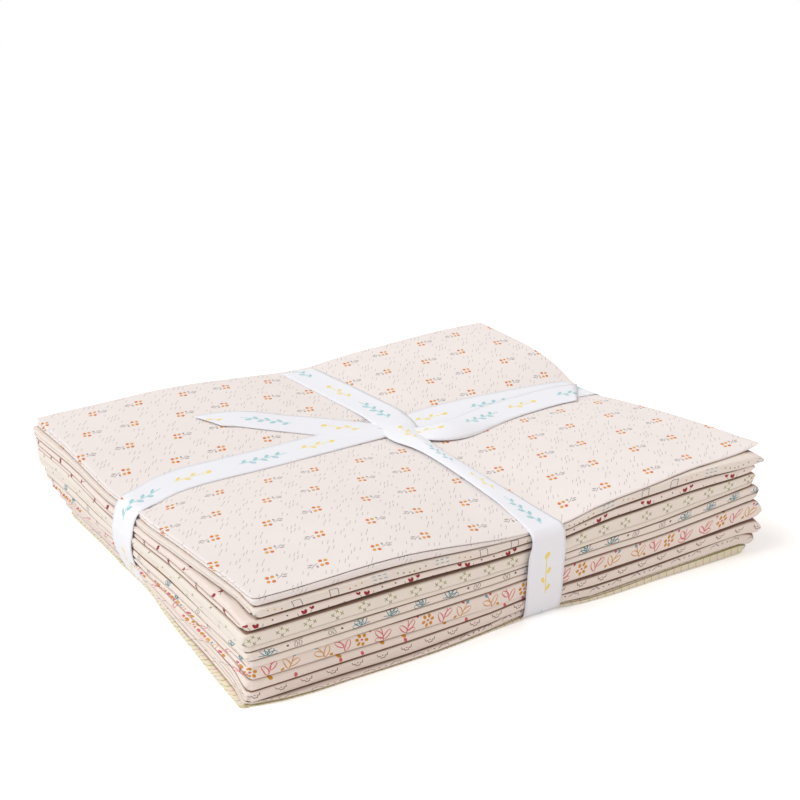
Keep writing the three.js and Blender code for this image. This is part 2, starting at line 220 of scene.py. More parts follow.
# The nine cuts, from the top down.
# left, right, front and back: where each side stands, at the places in sideY and sideX. frontAt: other places
# for the values in front.
# passLeft: how far each pass is drawn back from the left, the lowest first. lowerFold and upperFold: how far
# each front fold is drawn back, and lowerShare: the lower one's share of the front, at the places in sideX.
# frontBulge and leftBulge: how far the folds stand out for each ply they go round.
# gapUnder: an open gap under the cut at the front: its heights at the places in sideX, and its reach.
# tip: how far in the right end tapers, and the height it tapers to as a share of the cut.
sideY = [-114, -60, 14, 60, 114]
sideX = [-139, -60, 9, 75, 139]
cuts = [
    {"node": "cut_1", "left": [-137.2, -138.6, -139.6, -139.7, -139.9],
     "right": [141.6, 140, 139.7, 139.9, 140], "front": [-115.4, -114.8, -114.2, -114.2, -113.6],
     "back": [114.3, 114.3, 114, 114.4, 114.6], "passLeft": [0.4, 0.1, 0.5, 0],
     "lowerFold": [0, 0, 0.6, 2.6, 2.6], "upperFold": [0.5, 0.5, 0.2, 0, 0],
     "lowerShare": [0.82, 0.82, 0.6, 0.4, 0.4], "frontBulge": 0.5, "leftBulge": 0.5, "tip": (8, 0.8),
     "gapUnder": ([0, 0, 0, 0.35, 0.9], 26)},
    {"node": "cut_2", "left": [-137.6, -139.8, -140.6, -141, -142.4],
     "right": [138.6, 139.5, 140, 140.4, 140.6], "front": [-118.2, -116, -114.6, -115.6, -120.6],
     "back": [114.8, 114.6, 114.4, 115, 114.6], "passLeft": [1.1, 0.2, 0.9, 0], "lowerFold": [4.2] * 5,
     "upperFold": [0] * 5, "lowerShare": [0.5] * 5, "frontBulge": 0.75, "leftBulge": 0.6,
     "tip": (15, 0.12)},
    {"node": "cut_3", "left": [-142.4, -141.6, -140.8, -141.4, -142],
     "right": [135.8, 138.4, 139.4, 139.6, 140], "front": [-117.2, -115.6, -114.4, -115.4, -117.2],
     "back": [113.6, 114, 113.8, 113.8, 113.4], "passLeft": [0.4, 0.9, 0.8, 0], "lowerFold": [3.8] * 5,
     "upperFold": [0] * 5, "lowerShare": [0.5] * 5, "frontBulge": 0.7, "leftBulge": 0.65,
     "tip": (4.5, 0.5), "gapUnder": ([0.3, 1.0, 0.4, 0, 0], 22)},
    {"node": "cut_4", "left": [-143.2, -142, -141, -140.6, -141],
     "right": [137.2, 138.8, 139.4, 139, 138.8], "front": [-117.8, -116, -114.8, -115.8, -117.6],
     "back": [114.4, 114.2, 114.4, 114.8, 114.4], "passLeft": [0.8, 0.5, 0.9, 0], "lowerFold": [0.4] * 5,
     "upperFold": [0] * 5, "lowerShare": [0.32] * 5, "frontBulge": 0.5, "leftBulge": 0.7,
     "tip": (4, 0.6)},
    {"node": "cut_5", "left": [-142.4, -141, -139.8, -139.6, -138.8],
     "right": [138.9, 139.4, 139.7, 139.9, 140.1], "front": [-118, -116.2, -114.6, -116, -118.4],
     "back": [113.6, 114.2, 114, 113.8, 114], "passLeft": [0.7, 1.0, 0.5, 0], "lowerFold": [0.2] * 5,
     "upperFold": [0.2] * 5, "lowerShare": [0.45] * 5, "frontBulge": 0.5, "leftBulge": 0.7,
     "tip": (4, 0.5)},
    {"node": "cut_6", "left": [-141.2, -139.6, -137.4, -136.6, -135.4],
     "right": [141.2, 140.6, 140.2, 140.6, 141], "front": [-115.4, -115.9, -114.8, -116.4, -119.8],
     "back": [114.6, 114.8, 114.6, 115, 114.9], "passLeft": [0.8, 0, 1.0, 0.2],
     "lowerFold": [0.2, 0.25, 1.0, 2.8, 3.4], "upperFold": [0] * 5,
     "lowerShare": [0.42, 0.34, 0.3, 0.35, 0.4], "frontBulge": 0.7, "leftBulge": 0.7, "tip": (7, 0.3)},
    {"node": "cut_7", "left": [-140.8, -138.2, -134.8, -133.2, -131.8],
     "right": [140.4, 140.2, 139.6, 139.2, 138.8], "front": [-115.6, -115.6, -114.8, -116.2, -120.6],
     "back": [113.4, 113.8, 113.2, 113, 112.9], "passLeft": [1.0, 0.1, 0.9, 0],
     "lowerFold": [1.6, 1.8, 2.2, 2.6, 3.2], "upperFold": [0] * 5,
     "lowerShare": [0.26, 0.26, 0.3, 0.36, 0.4], "frontBulge": 0.7, "leftBulge": 0.7, "tip": (7, 0.4)},
    {"node": "cut_8", "left": [-141.6, -137.6, -132.4, -130.8, -129.2],
     "right": [138.9, 139.2, 140, 140.1, 140.2], "frontAt": [-139, -124, -92, -50, -16, 4, 38, 75, 139],
     "front": [-113.6, -116.9, -117.4, -116.8, -114, -113.2, -115.6, -115.8, -117.6],
     "back": [114, 114.2, 114, 114, 113.8], "passLeft": [0.8, 0, 0.9, 0.2],
     "lowerFold": [0.6, 0.6, 1.2, 2.6, 3], "upperFold": [0] * 5, "lowerShare": [0.4] * 5,
     "frontBulge": 0.5, "leftBulge": 0.6, "tip": (4, 0.5)},
    {"node": "cut_9", "left": [-143.4, -138.4, -131.2, -128.6, -126.4],
     "right": [136.4, 138.4, 139.4, 138.8, 138], "frontAt": [-139, -124, -92, -50, -16, 4, 38, 75, 139],
     "front": [-114.4, -117.7, -117.9, -117, -113.7, -112.8, -116, -116, -115.8],
     "back": [112.6, 113, 113.2, 112.8, 112.4], "passLeft": [0.6, 0, 0.9, 0.1], "lowerFold": [0] * 5,
     "upperFold": [1.2] * 5, "lowerShare": [0.5] * 5, "frontBulge": 0.7, "leftBulge": 0.6,
     "tip": (5, 0.6)},
]

clothFolds = {
    "thickness": 0.13,  # of the modelled sheet; its plies lie 0.3 mm and more apart
    "corner": 6, "face": 4.6,  # 2 and 2 make a round fold, more makes crisper corners and a flatter face
    "uneven": 0.35,  # how far the sides wander
    "drawnFade": (1.7, 0.6),  # a drawn-back pass leaves its room to its neighbours over this; its share there
    "leastPass": 0.02,  # the least share of its cut that a pass keeps
    "shareReach": 9,  # how far in the front folds' shares of their cut hold
    "rightDrawn": 0.5,  # the right end is drawn back by this share of the left
    "cutEndRoom": 0.4,  # how far in from the back the two cut ends lie
    "cornerRadius": 2.6,
    "leastHeight": 1.2,  # of a whole cut
    "leastShare": 0.01,  # of the pile's height, for each cut
    "edgeRoom": (0.09, 2, 12),  # how far a cut's faces stand off its neighbours near the edges
    "foldRoom": (0.11, 2, 12),  # how far the two folds of one cut stand apart at the front
    "frontCorner": 24,  # how far back the front corner's taper and noses reach
    "rightTaper": (2.2, 0.6),  # behind that: how far in the right end tapers, and to what share of its height
    "tipLeast": 0.1,  # the same share at the front corner
    "topMiddle": (30, 24), "middle": (16, 13),  # columns and rows of faces over the middle of a cut
    "nose": (3.4, 0.25),  # how far in a fold thins at its right end, and to what share of its height
    "paintedShadeEdge": (1.1, 0.9),  # how far in other cloth starts to cover a cut's inner plies, and its top one, where the painted shade begins
    "recess": (8, 6),  # how far in a drawn-back front fold counts as open and takes no painted shade, and over what
}
# the three folds across the width, from the outside in: middle and radius in plies, and side
sideFolds = [(1.5, 1.5, "left"), (0.5, 0.5, "right"), (1.5, 0.5, "left")]
arcSteps = 9  # points round each fold
frontMiddles = (3.5, 11.5)  # the plies, 0 to 15, round which the two front folds turn
backMiddle = 7.5  # and the back fold


def outlineOf(number, side):
    # One uneven side of a cut, as a function of the place along it.
    places = cuts[number].get(side + "At", sideY if side in ("left", "right") else sideX)
    values = cuts[number][side]
    seed = number * 10 + ("left", "right", "front", "back").index(side)
    middle, reach, amounts = ribbonTie["pull"].get(side, (0, 1, [0] * 9))
    inwards = -amounts[number] if side == "right" else amounts[number]

    def lineAt(at):
        rng = np.random.default_rng(seed)
        line = curveThrough(places, values, at) + wander(rng, at, clothFolds["uneven"])
        return line + inwards * hollow(at - middle, reach)

    return lineAt


outlines = [
    {side: outlineOf(number, side) for side in ("left", "right", "front", "back")} for number in range(9)
]


def rampFrom(distance):
    over, atEdge = clothFolds["drawnFade"]
    return ease(distance / over + atEdge)


droop = (3.5, 2.5, 1.6, 0.03)  # how far behind cut 7 a cut sinks, over what, how softly, and its least height


def standing(number, x, y):
    # How much of a sunk cut there is at a place: nothing in front of its front folds, where they lie
    # well behind those of cut 7.
    start, over, soften, least = droop
    front = outlines[number]["front"](x)
    sunk = ease((front - outlines[6]["front"](x) - start) / over)
    return 1 - sunk * (1 - np.maximum(rampFrom((y - front) / soften), least))


def cutFloors(x, y):
    # Heights of the ten surfaces that bound the nine cuts, the pile's top first.
    shares = [shareUnder(number, x, y) for number in range(-1, 9)]
    least = clothFolds["leastShare"]
    parts = [np.maximum(shares[number] - shares[number + 1], least) for number in range(9)]
    for number in range(7, 9):  # cut 7 droops in front of the sunk ones
        left = parts[number] * standing(number, x, y)
        parts[6] = parts[6] + parts[number] - left
        parts[number] = left
    whole = sum(parts)
    under = underHeight(x, y)
    top = topHeight(x, y)
    relief = topRelief(x, y)
    floors = []
    below = np.ones_like(x)
    for number in range(10):
        floors.append(under + (top - under) * below + relief * below**5)  # the top's relief soon fades
        if number < 9:
            below = below - parts[number] / whole
    return floors


def passShares(number, x, y):
    # The share of a cut's height that each of its four passes takes at a place.
    cut, outline = cuts[number], outlines[number]
    left, right = outline["left"](y), outline["right"](y)
    front, back = outline["front"](x), outline["back"](x)
    folds = [curveThrough(sideX, cut[name], x) for name in ("lowerFold", "upperFold")]
    atFront = 1 - ease((y - front) / clothFolds["shareReach"])
    lower = 0.5 + (curveThrough(sideX, cut["lowerShare"], x) - 0.5) * atFront
    found = []
    for index, drawn in enumerate(cut["passLeft"]):
        there = rampFrom(x - left - drawn) * rampFrom(right - x - drawn * clothFolds["rightDrawn"])
        there = there * rampFrom(y - front - folds[index // 2]) * (lower if index < 2 else 1 - lower)
        found.append(np.maximum(there * rampFrom(back - y), clothFolds["leastPass"]))
    whole = sum(found)
    return [part / whole for part in found]


def gapUnder(cut, x, y):
    if "gapUnder" not in cut:
        return 0.0
    heights, reach = cut["gapUnder"]
    return np.maximum(curveThrough(sideX, heights, x), 0) * (1 - ease((y + halfDeep) / reach))


def arcPlaces():
    # Points round a fold: how far out, and how far up from its middle, both as shares of its radius.
    turns = np.radians(np.linspace(-90, 90, arcSteps + 2)[1:-1])
    out = np.cos(turns) ** (2 / clothFolds["corner"])
    up = np.sign(turns) * np.abs(np.sin(turns)) ** (2 / clothFolds["face"])
    return list(zip(out, up))


def spread(edgeSteps, count, length, farSteps):
    # Places along one pass as shares: close together near its ends, even between.
    near = [step / length for step in edgeSteps]
    far = [1 - step / length for step in farSteps]
    middle = np.linspace(near[-1], far[-1], count + 2)[1:-1]
    return near + list(middle) + far[::-1]


def clothColumns(middleCount):
    # Across the cloth's width: share across the pile, ply level, bulge left, bulge right.
    nearLeft, nearRight = [0, 0.6, 1.2, 1.9, 2.8, 4.2, 6.5, 10, 15], [0, 0.8, 2, 4, 8, 15]
    shares = spread(nearLeft, middleCount, quarterWidth, nearRight)
    levels = [3, 0, 1, 2]
    columns = []
    for quarter, level in enumerate(levels):
        columns += [(share, level, 0, 0) for share in (shares if quarter % 2 == 1 else shares[::-1])]
        if quarter < 3:
            middle, radius, side = sideFolds[quarter]
            downwards = -1 if level > levels[quarter + 1] else 1
            for out, up in arcPlaces():
                turned, bulge = middle + downwards * radius * up, out * radius
                columns.append((0, turned, bulge, 0) if side == "left" else (1, turned, 0, bulge))
    return np.array(columns).T


def clothRows(middleCount):
    # Along the cloth's length: share from front to back, fold's middle, up, out, at the back, pass.
    nearFront, nearBack = [0, 0.7, 1.5, 2.4, 3.5, 5, 8, 13], [0, 1, 3, 8, 16]
    shares = spread(nearFront, middleCount, quarterLength, nearBack)
    rows = []
    for index in range(4):
        middle, up = frontMiddles[index // 2], (-1, 1)[index % 2]
        rows += [(share, middle, up, 0, 0, index) for share in (shares if index % 2 == 1 else shares[::-1])]
        if index < 3:
            atBack = int(index == 1)
            for out, turned in arcPlaces():
                rows.append((atBack, backMiddle if atBack else middle, turned, out, atBack,
                             index + (turned + 1) / 2))
    return np.array(rows).T


def cornerInset(distance):
    # How far the short sides stand back beside a rounded corner, at a distance from the long side.
    radius = clothFolds["cornerRadius"]
    short = radius - np.clip(distance, 0, radius)
    return radius - np.sqrt(np.maximum(radius**2 - short**2, 0))


def roundOff(share):
    # A quarter circle, rising from 0 at 0 to 1 at 1.
    return np.sqrt(1 - (1 - share) ** 2)


def insideOf(number, x, y):
    # How far inside a cut's outline a place is.
    outline = outlines[number]
    return np.minimum(
        np.minimum(x - outline["left"](y), outline["right"](y) - x),
        np.minimum(y - outline["front"](x), outline["back"](x) - y),
    )


def foldedPlaces(number, middleColumns, middleRows):
    # Every grid point of one cut's single sheet, settled in the pile, with its place on the flat cloth
    # and how much painted shade it takes where other cloth covers it.
    cut, outline = cuts[number], outlines[number]
    across, level, bulgeLeft, bulgeRight = (column[None, :] for column in clothColumns(middleColumns))
    deep, middle, up, out, atBack, layer = (row[:, None] for row in clothRows(middleRows))
    frontRadius = frontMiddles[0]  # of the outermost ply
    radius = np.where(atBack > 0, level + 0.5, frontRadius - level)
    plyHeight = middle + up * radius  # 0 to 15
    isTop, isLower = plyHeight > 14.9, plyHeight < backMiddle
    drawnLeft = np.interp(layer, range(4), cut["passLeft"])
    plainX = (across - 0.5) * 2 * halfLong
    folds = [curveThrough(sideX, cut[name], plainX) for name in ("lowerFold", "upperFold")]
    drawnFront = np.where(middle < backMiddle, folds[0], folds[1])
    sideBulge, foldBulge = cut["leftBulge"], cut["frontBulge"]
    leftOut, rightOut = sideFolds[0][1] * sideBulge, sideFolds[1][1] * sideBulge
    foldOut = frontRadius * foldBulge

    # x, from the two short sides
    plainY = (deep - 0.5) * 2 * halfDeep + 0 * across
    isCutEnd = (layer < 0.5) | (layer > 2.5)  # the cut ends lie at the back, over and under the fold there
    backRoom = np.where(isCutEnd, clothFolds["cutEndRoom"], foldOut)
    fromFront = deep * quarterLength + (frontRadius - out * radius * (1 - atBack)) * foldBulge
    fromBack = (1 - deep) * quarterLength + backRoom - out * radius * atBack * foldBulge
    inset = cornerInset(fromFront) + cornerInset(fromBack)
    left = outline["left"](plainY) + drawnLeft + leftOut + inset
    right = outline["right"](plainY) - drawnLeft * clothFolds["rightDrawn"] - rightOut - inset
    x = left + (right - left) * across + (bulgeRight - bulgeLeft) * sideBulge

    # y, from the two long sides
    front = outline["front"](x) + drawnFront + foldOut
    back = outline["back"](x) - backRoom
    y = front + (back - front) * deep + np.where(atBack > 0, 1, -1) * out * radius * foldBulge

    # z: the cut's room at this place, shared by its passes, then by their plies
    floors = cutFloors(x, y)
    inside = insideOf(number, x, y)
    amount, start, over = clothFolds["edgeRoom"]
    room = amount * (1 - ease((inside - start) / over))
    high = floors[number] - (room if number > 0 else 0)
    low = floors[number + 1] + gapUnder(cut, x, y) + (room if number < 8 else 0)
    low = np.maximum(np.minimum(low, high - clothFolds["leastHeight"]), clothFolds["thickness"] / 2)
    atCorner = 1 - ease((y - front) / clothFolds["frontCorner"])
    (taper, tipAt), (plainTaper, plainLeast) = cut["tip"], clothFolds["rightTaper"]
    fromRight = right + rightOut - x
    least = plainLeast - (plainLeast - clothFolds["tipLeast"]) * atCorner
    tapered = roundOff(np.clip(fromRight / (plainTaper + (taper - plainTaper) * atCorner), 0, 1))
    full = least + (1 - least) * tapered
    tip = low + (high - low) * tipAt
    high, low = tip + (high - tip) * full, tip + (low - tip) * full
    parts = passShares(number, x, y)
    place = (plyHeight + 0.5) / 4  # in passes
    share = sum(part * np.clip(place - index, 0, 1) for index, part in enumerate(parts))

    # at the front right corner each fold ends in a small nose of its own
    noseReach, noseLeast = clothFolds["nose"]
    full = 1 - atCorner * (1 - noseLeast) * (1 - roundOff(np.clip(fromRight / noseReach, 0, 1)))
    split = parts[0] + parts[1]
    noseAt = np.where(isLower, split / 2, split + (1 - split) / 2)
    share = noseAt + (share - noseAt) * full
    # all along the front the two folds stand a little apart
    amount, start, over = clothFolds["foldRoom"]
    atFront = 1 - ease((y - front - start) / over)
    z = low + (high - low) * share + amount * atFront * np.where(isLower, -place / 2, 2 - place / 2)

    # painted shade: inner plies darken where other cloth covers them, the top ply where the cut above lies
    # over it
    coverFrom, coverTop = clothFolds["paintedShadeEdge"]
    start, over = clothFolds["recess"]
    paintedShade = ease(inside - drawnFront * ease((start - y - halfDeep) / over) - coverFrom)
    paintedShadeTop = ease(insideOf(number - 1, x, y) / coverTop) if number > 0 else 0
    places = np.stack([x, y, z], -1)
    flat = np.stack([clothPlaces(places, 1, quarterWidth), clothPlaces(places, 0, quarterLength)], -1)
    return places, flat, np.where(isTop, paintedShadeTop, paintedShade)


def clothPlaces(places, axis, quarter):
    # Distances along the cloth, measured on the folded sheet and evened out between its folds.
    steps = np.linalg.norm(np.diff(places, axis=axis), axis=-1)
    zero = np.zeros_like(np.take(steps, [0], axis))
    lengths = np.concatenate([zero, np.cumsum(steps, axis)], axis)
    straight = (lengths.shape[axis] - 3 * arcSteps) // 4
    folds = [0] + [straight * (fold + 1) + arcSteps * fold + arcSteps // 2 for fold in range(3)]
    folds.append(lengths.shape[axis] - 1)
    found = np.empty_like(lengths)
    for step in range(4):
        part = [slice(None), slice(None)]
        part[axis] = slice(folds[step], folds[step + 1] + 1)
        chosen = lengths[tuple(part)]
        start, end = np.take(chosen, [0], axis), np.take(chosen, [-1], axis)
        found[tuple(part)] = quarter * (step + (chosen - start) / (end - start))
    return found


def gridNormals(places):
    along = np.gradient(places, axis=1)
    down = np.gradient(places, axis=0)
    found = np.cross(along, down)
    return found / np.maximum(np.linalg.norm(found, axis=-1, keepdims=True), 1e-9)


def clothMesh(name, grids, thickness, materials):
    # A closed thin sheet for each grid: the face side, the wrong side and the cut edges.
    points, faces, maps, sides, shades = [], [], [], [], []
    start = 0
    for places, flat, paintedShade in grids:
        rows, columns = places.shape[:2]
        count = rows * columns
        normals = gridNormals(places)
        for step in (0.5, -0.5):
            points.append((places + normals * thickness * step).reshape(-1, 3))
            maps.append(flat.reshape(-1, 2))
            shades.append(paintedShade.ravel())
        index = np.arange(count).reshape(rows, columns) + start
        a, b, c, d = index[:-1, :-1], index[:-1, 1:], index[1:, 1:], index[1:, :-1]
        faceSide = np.stack([a, b, c, d], -1).reshape(-1, 4)
        wrongSide = np.stack([d, c, b, a], -1).reshape(-1, 4) + count
        rim = np.concatenate([index[0, :], index[1:, -1], index[-1, -2::-1], index[-2:0:-1, 0]])
        after = np.roll(rim, -1)
        edge = np.stack([after, rim, rim + count, after + count], -1)
        faces += [faceSide, wrongSide, edge]
        sides += [0] * len(faceSide) + [1] * len(wrongSide) + [1] * len(edge)
        start += 2 * count
    points, faces, maps = np.concatenate(points), np.concatenate(faces), np.concatenate(maps)
    mesh = bpy.data.meshes.new(name)
    mesh.from_pydata((points * mm).tolist(), [], faces.tolist())
    layer = mesh.uv_layers.new(name="cloth")
    layer.uv.foreach_set("vector", maps[faces.ravel()].astype(np.float32).ravel())
    # how much painted shade each point takes
    paintedShade = mesh.attributes.new("paintedShade", "FLOAT", "POINT")
    paintedShade.data.foreach_set("value", np.concatenate(shades).astype(np.float32))
    mesh.polygons.foreach_set("use_smooth", [True] * len(faces))
    for material in materials:
        mesh.materials.append(material)
    mesh.polygons.foreach_set("material_index", np.minimum(sides, len(materials) - 1))
    mesh.validate()
    piece = bpy.data.objects.new(name, mesh)
    bpy.context.scene.collection.objects.link(piece)
    return piece


def linear(code):
    # sRGB hex to the linear colour that a node takes
    parts = [int(code[i:i + 2], 16) / 255 for i in (1, 3, 5)]
    return [p / 12.92 if p <= 0.04045 else ((p + 0.055) / 1.055) ** 2.4 for p in parts] + [1.0]


def addNode(tree, kind, inputs=None, **settings):
    # An input is a value, an output, or a node, which gives its first output.
    node = tree.nodes.new(kind)
    for name, value in settings.items():
        setattr(node, name, value)
    for name, value in (inputs or {}).items():
        if isinstance(value, bpy.types.Node):
            value = value.outputs[0]
        if isinstance(value, bpy.types.NodeSocket):
            tree.links.new(value, node.inputs[name])
        else:
            node.inputs[name].default_value = value
    return node


def markGroup(name, build):
    # One printed mark as a group. Place, From and To are in millimetres on the cloth.
    tree = bpy.data.node_groups.new(name, "ShaderNodeTree")
    face = tree.interface
    for socket, kind in (("Place", "Vector"), ("From", "Vector"), ("To", "Vector"), ("Width", "Float")):
        face.new_socket(socket, in_out="INPUT", socket_type="NodeSocket" + kind)
    face.new_socket("Ink", in_out="OUTPUT", socket_type="NodeSocketFloat")
    given = addNode(tree, "NodeGroupInput").outputs
    addNode(tree, "NodeGroupOutput", {"Ink": build(tree, given)})
    return tree


def strokeInk(tree, given):
    # A round-ended stroke from From to To, Width across.
    place, start = given["Place"], given["From"]
    fromStart = addNode(tree, "ShaderNodeVectorMath", {0: place, 1: start}, operation="SUBTRACT")
    whole = addNode(tree, "ShaderNodeVectorMath", {0: given["To"], 1: start}, operation="SUBTRACT")
    along = addNode(tree, "ShaderNodeVectorMath", {0: fromStart, 1: whole}, operation="DOT_PRODUCT")
    square = addNode(tree, "ShaderNodeVectorMath", {0: whole, 1: whole}, operation="DOT_PRODUCT")
    share = addNode(tree, "ShaderNodeMath", {0: along.outputs["Value"], 1: square.outputs["Value"]},
                    operation="DIVIDE", use_clamp=True)
    nearest = addNode(tree, "ShaderNodeVectorMath", {0: whole, "Scale": share}, operation="SCALE")
    away = addNode(tree, "ShaderNodeVectorMath", {0: fromStart, 1: nearest}, operation="DISTANCE")
    reach = addNode(tree, "ShaderNodeMath", {0: given["Width"], 1: 0.5, 2: markEdges["runOut"]},
                    operation="MULTIPLY_ADD")
    inside = addNode(tree, "ShaderNodeMath", {0: reach, 1: away.outputs["Value"]}, operation="SUBTRACT")
    return addNode(tree, "ShaderNodeMath", {0: inside, 1: markEdges["stroke"]}, operation="MULTIPLY",
                   use_clamp=True)


def insideLeaf(tree, given):
    # How far inside a leaf a place is. Its ends are at From and To, and Width sets how full it is.
    apart = [
        addNode(tree, "ShaderNodeVectorMath", {0: given[one], 1: given[other]}, operation="DISTANCE")
        for one, other in (("Place", "From"), ("Place", "To"), ("From", "To"))
    ]
    toFrom, toTo, length = (node.outputs["Value"] for node in apart)
    both = addNode(tree, "ShaderNodeMath", {0: toFrom, 1: toTo}, operation="ADD")
    spare = addNode(tree, "ShaderNodeMath", {0: length, 1: given["Width"]}, operation="ADD")
    return addNode(tree, "ShaderNodeMath", {0: spare, 1: both}, operation="SUBTRACT")


def petalInk(tree, given):
    inside = insideLeaf(tree, given)
    return addNode(tree, "ShaderNodeMath", {0: inside, 1: markEdges["petal"]}, operation="MULTIPLY",
                   use_clamp=True)


def outlineInk(tree, given):
    # The same leaf, as a thin line round its edge.
    apart = addNode(tree, "ShaderNodeMath", {0: insideLeaf(tree, given)}, operation="ABSOLUTE")
    near = addNode(tree, "ShaderNodeMath", {0: markEdges["line"], 1: apart}, operation="SUBTRACT")
    return addNode(tree, "ShaderNodeMath", {0: near, 1: markEdges["outline"]}, operation="MULTIPLY",
                   use_clamp=True)


markEdges = {
    "runOut": 0.12,  # how far a stroke's ink runs out past its edge
    "line": 0.3,  # how far to each side of a leaf's edge its line runs out
    "stroke": 4.0, "petal": 3.0, "outline": 5.0,  # how fast each fills with ink, for each millimetre
}
marks = {
    "stroke": markGroup("stroke", strokeInk),
    "petal": markGroup("petal", petalInk),
    "outline": markGroup("leaf outline", outlineInk),
}


def clothPlace(tree, design):
    # The place on the cloth inside one repeat of a print, in millimetres from its middle. Each row starts
    # half a repeat further along. Every other repeat may be turned left to right, or by half a turn.
    wide, tall = design["repeat"]
    perRepeat = (1 / wide, 1 / tall, 0)
    flat = addNode(tree, "ShaderNodeUVMap", uv_map="cloth")
    moved = addNode(tree, "ShaderNodeVectorMath", {0: flat, 1: (*design["shift"], 0)}, operation="SUBTRACT")
    cells = addNode(tree, "ShaderNodeVectorMath", {0: moved, 1: perRepeat}, operation="MULTIPLY")
    parts = addNode(tree, "ShaderNodeSeparateXYZ", {0: cells})
    row = addNode(tree, "ShaderNodeMath", {0: parts.outputs["Y"]}, operation="ROUND")
    slid = addNode(tree, "ShaderNodeMath", {0: row, 1: 0.5, 2: parts.outputs["X"]}, operation="MULTIPLY_ADD")
    column = addNode(tree, "ShaderNodeMath", {0: slid}, operation="ROUND")
    inX = addNode(tree, "ShaderNodeMath", {0: slid, 1: column}, operation="SUBTRACT")
    inY = addNode(tree, "ShaderNodeMath", {0: parts.outputs["Y"], 1: row}, operation="SUBTRACT")
    inCell = addNode(tree, "ShaderNodeCombineXYZ", {0: inX, 1: inY})
    place = addNode(tree, "ShaderNodeVectorMath", {0: inCell, 1: (wide, tall, 0)}, operation="MULTIPLY")
    if design["turn"] == "none":
        return place
    both = addNode(tree, "ShaderNodeMath", {0: row, 1: column}, operation="ADD")
    odd = addNode(tree, "ShaderNodeMath", {0: both, 1: 2.0}, operation="FLOORED_MODULO")
    turn = addNode(tree, "ShaderNodeMath", {0: odd, 1: -2.0, 2: 1.0}, operation="MULTIPLY_ADD")
    upTurn = turn if design["turn"] == "half" else 1.0
    turns = addNode(tree, "ShaderNodeCombineXYZ", {0: turn, 1: upTurn})
    return addNode(tree, "ShaderNodeVectorMath", {0: place, 1: turns}, operation="MULTIPLY")


inks = {
    "orange": "#d57a40", "apricot": "#dea048", "greyStem": "#a19b9e", "rain": "#b0a8a9", "olive": "#8a8a40",
    "yellow": "#d6a238", "paleBlue": "#86a8b3", "dark": "#4d4243", "red": "#981c2b", "green": "#8f9540",
    "grey": "#827f78", "teal": "#46818f", "coral": "#d0606a", "mustard": "#c98c26", "brown": "#70524a",
    "purple": "#84647e", "cloud": "#80767a", "lime": "#a9ac50", "rose": "#c4686f", "lilac": "#a894b1",
    "sky": "#7fa6bd", "ribbonTeal": "#99cbd2", "ribbonYellow": "#eed976",
}


def dots(size, ink, *middles):
    # A dot is a stroke with hardly any length.
    return "stroke", size, ink, *((x, y, x + 0.1, y + 0.1) for x, y in middles)


def crossStitch(x, y, ink, otherInk):
    reach, width = 0.6, 0.36
    return [("stroke", width, ink, (x - reach, y - reach, x + reach, y + reach)),
            ("stroke", width, otherInk, (x - reach, y + reach, x + reach, y - reach))]


def dashes(width, ink, starts):
    # Three dashes in a row from each start, each a little higher than the one before.
    rows = [(x + 2.7 * step, y + 0.1 * step) for x, y in starts for step in range(3)]
    return "stroke", width, ink, *((x, y, x + 1.3, y + 0.2) for x, y in rows)


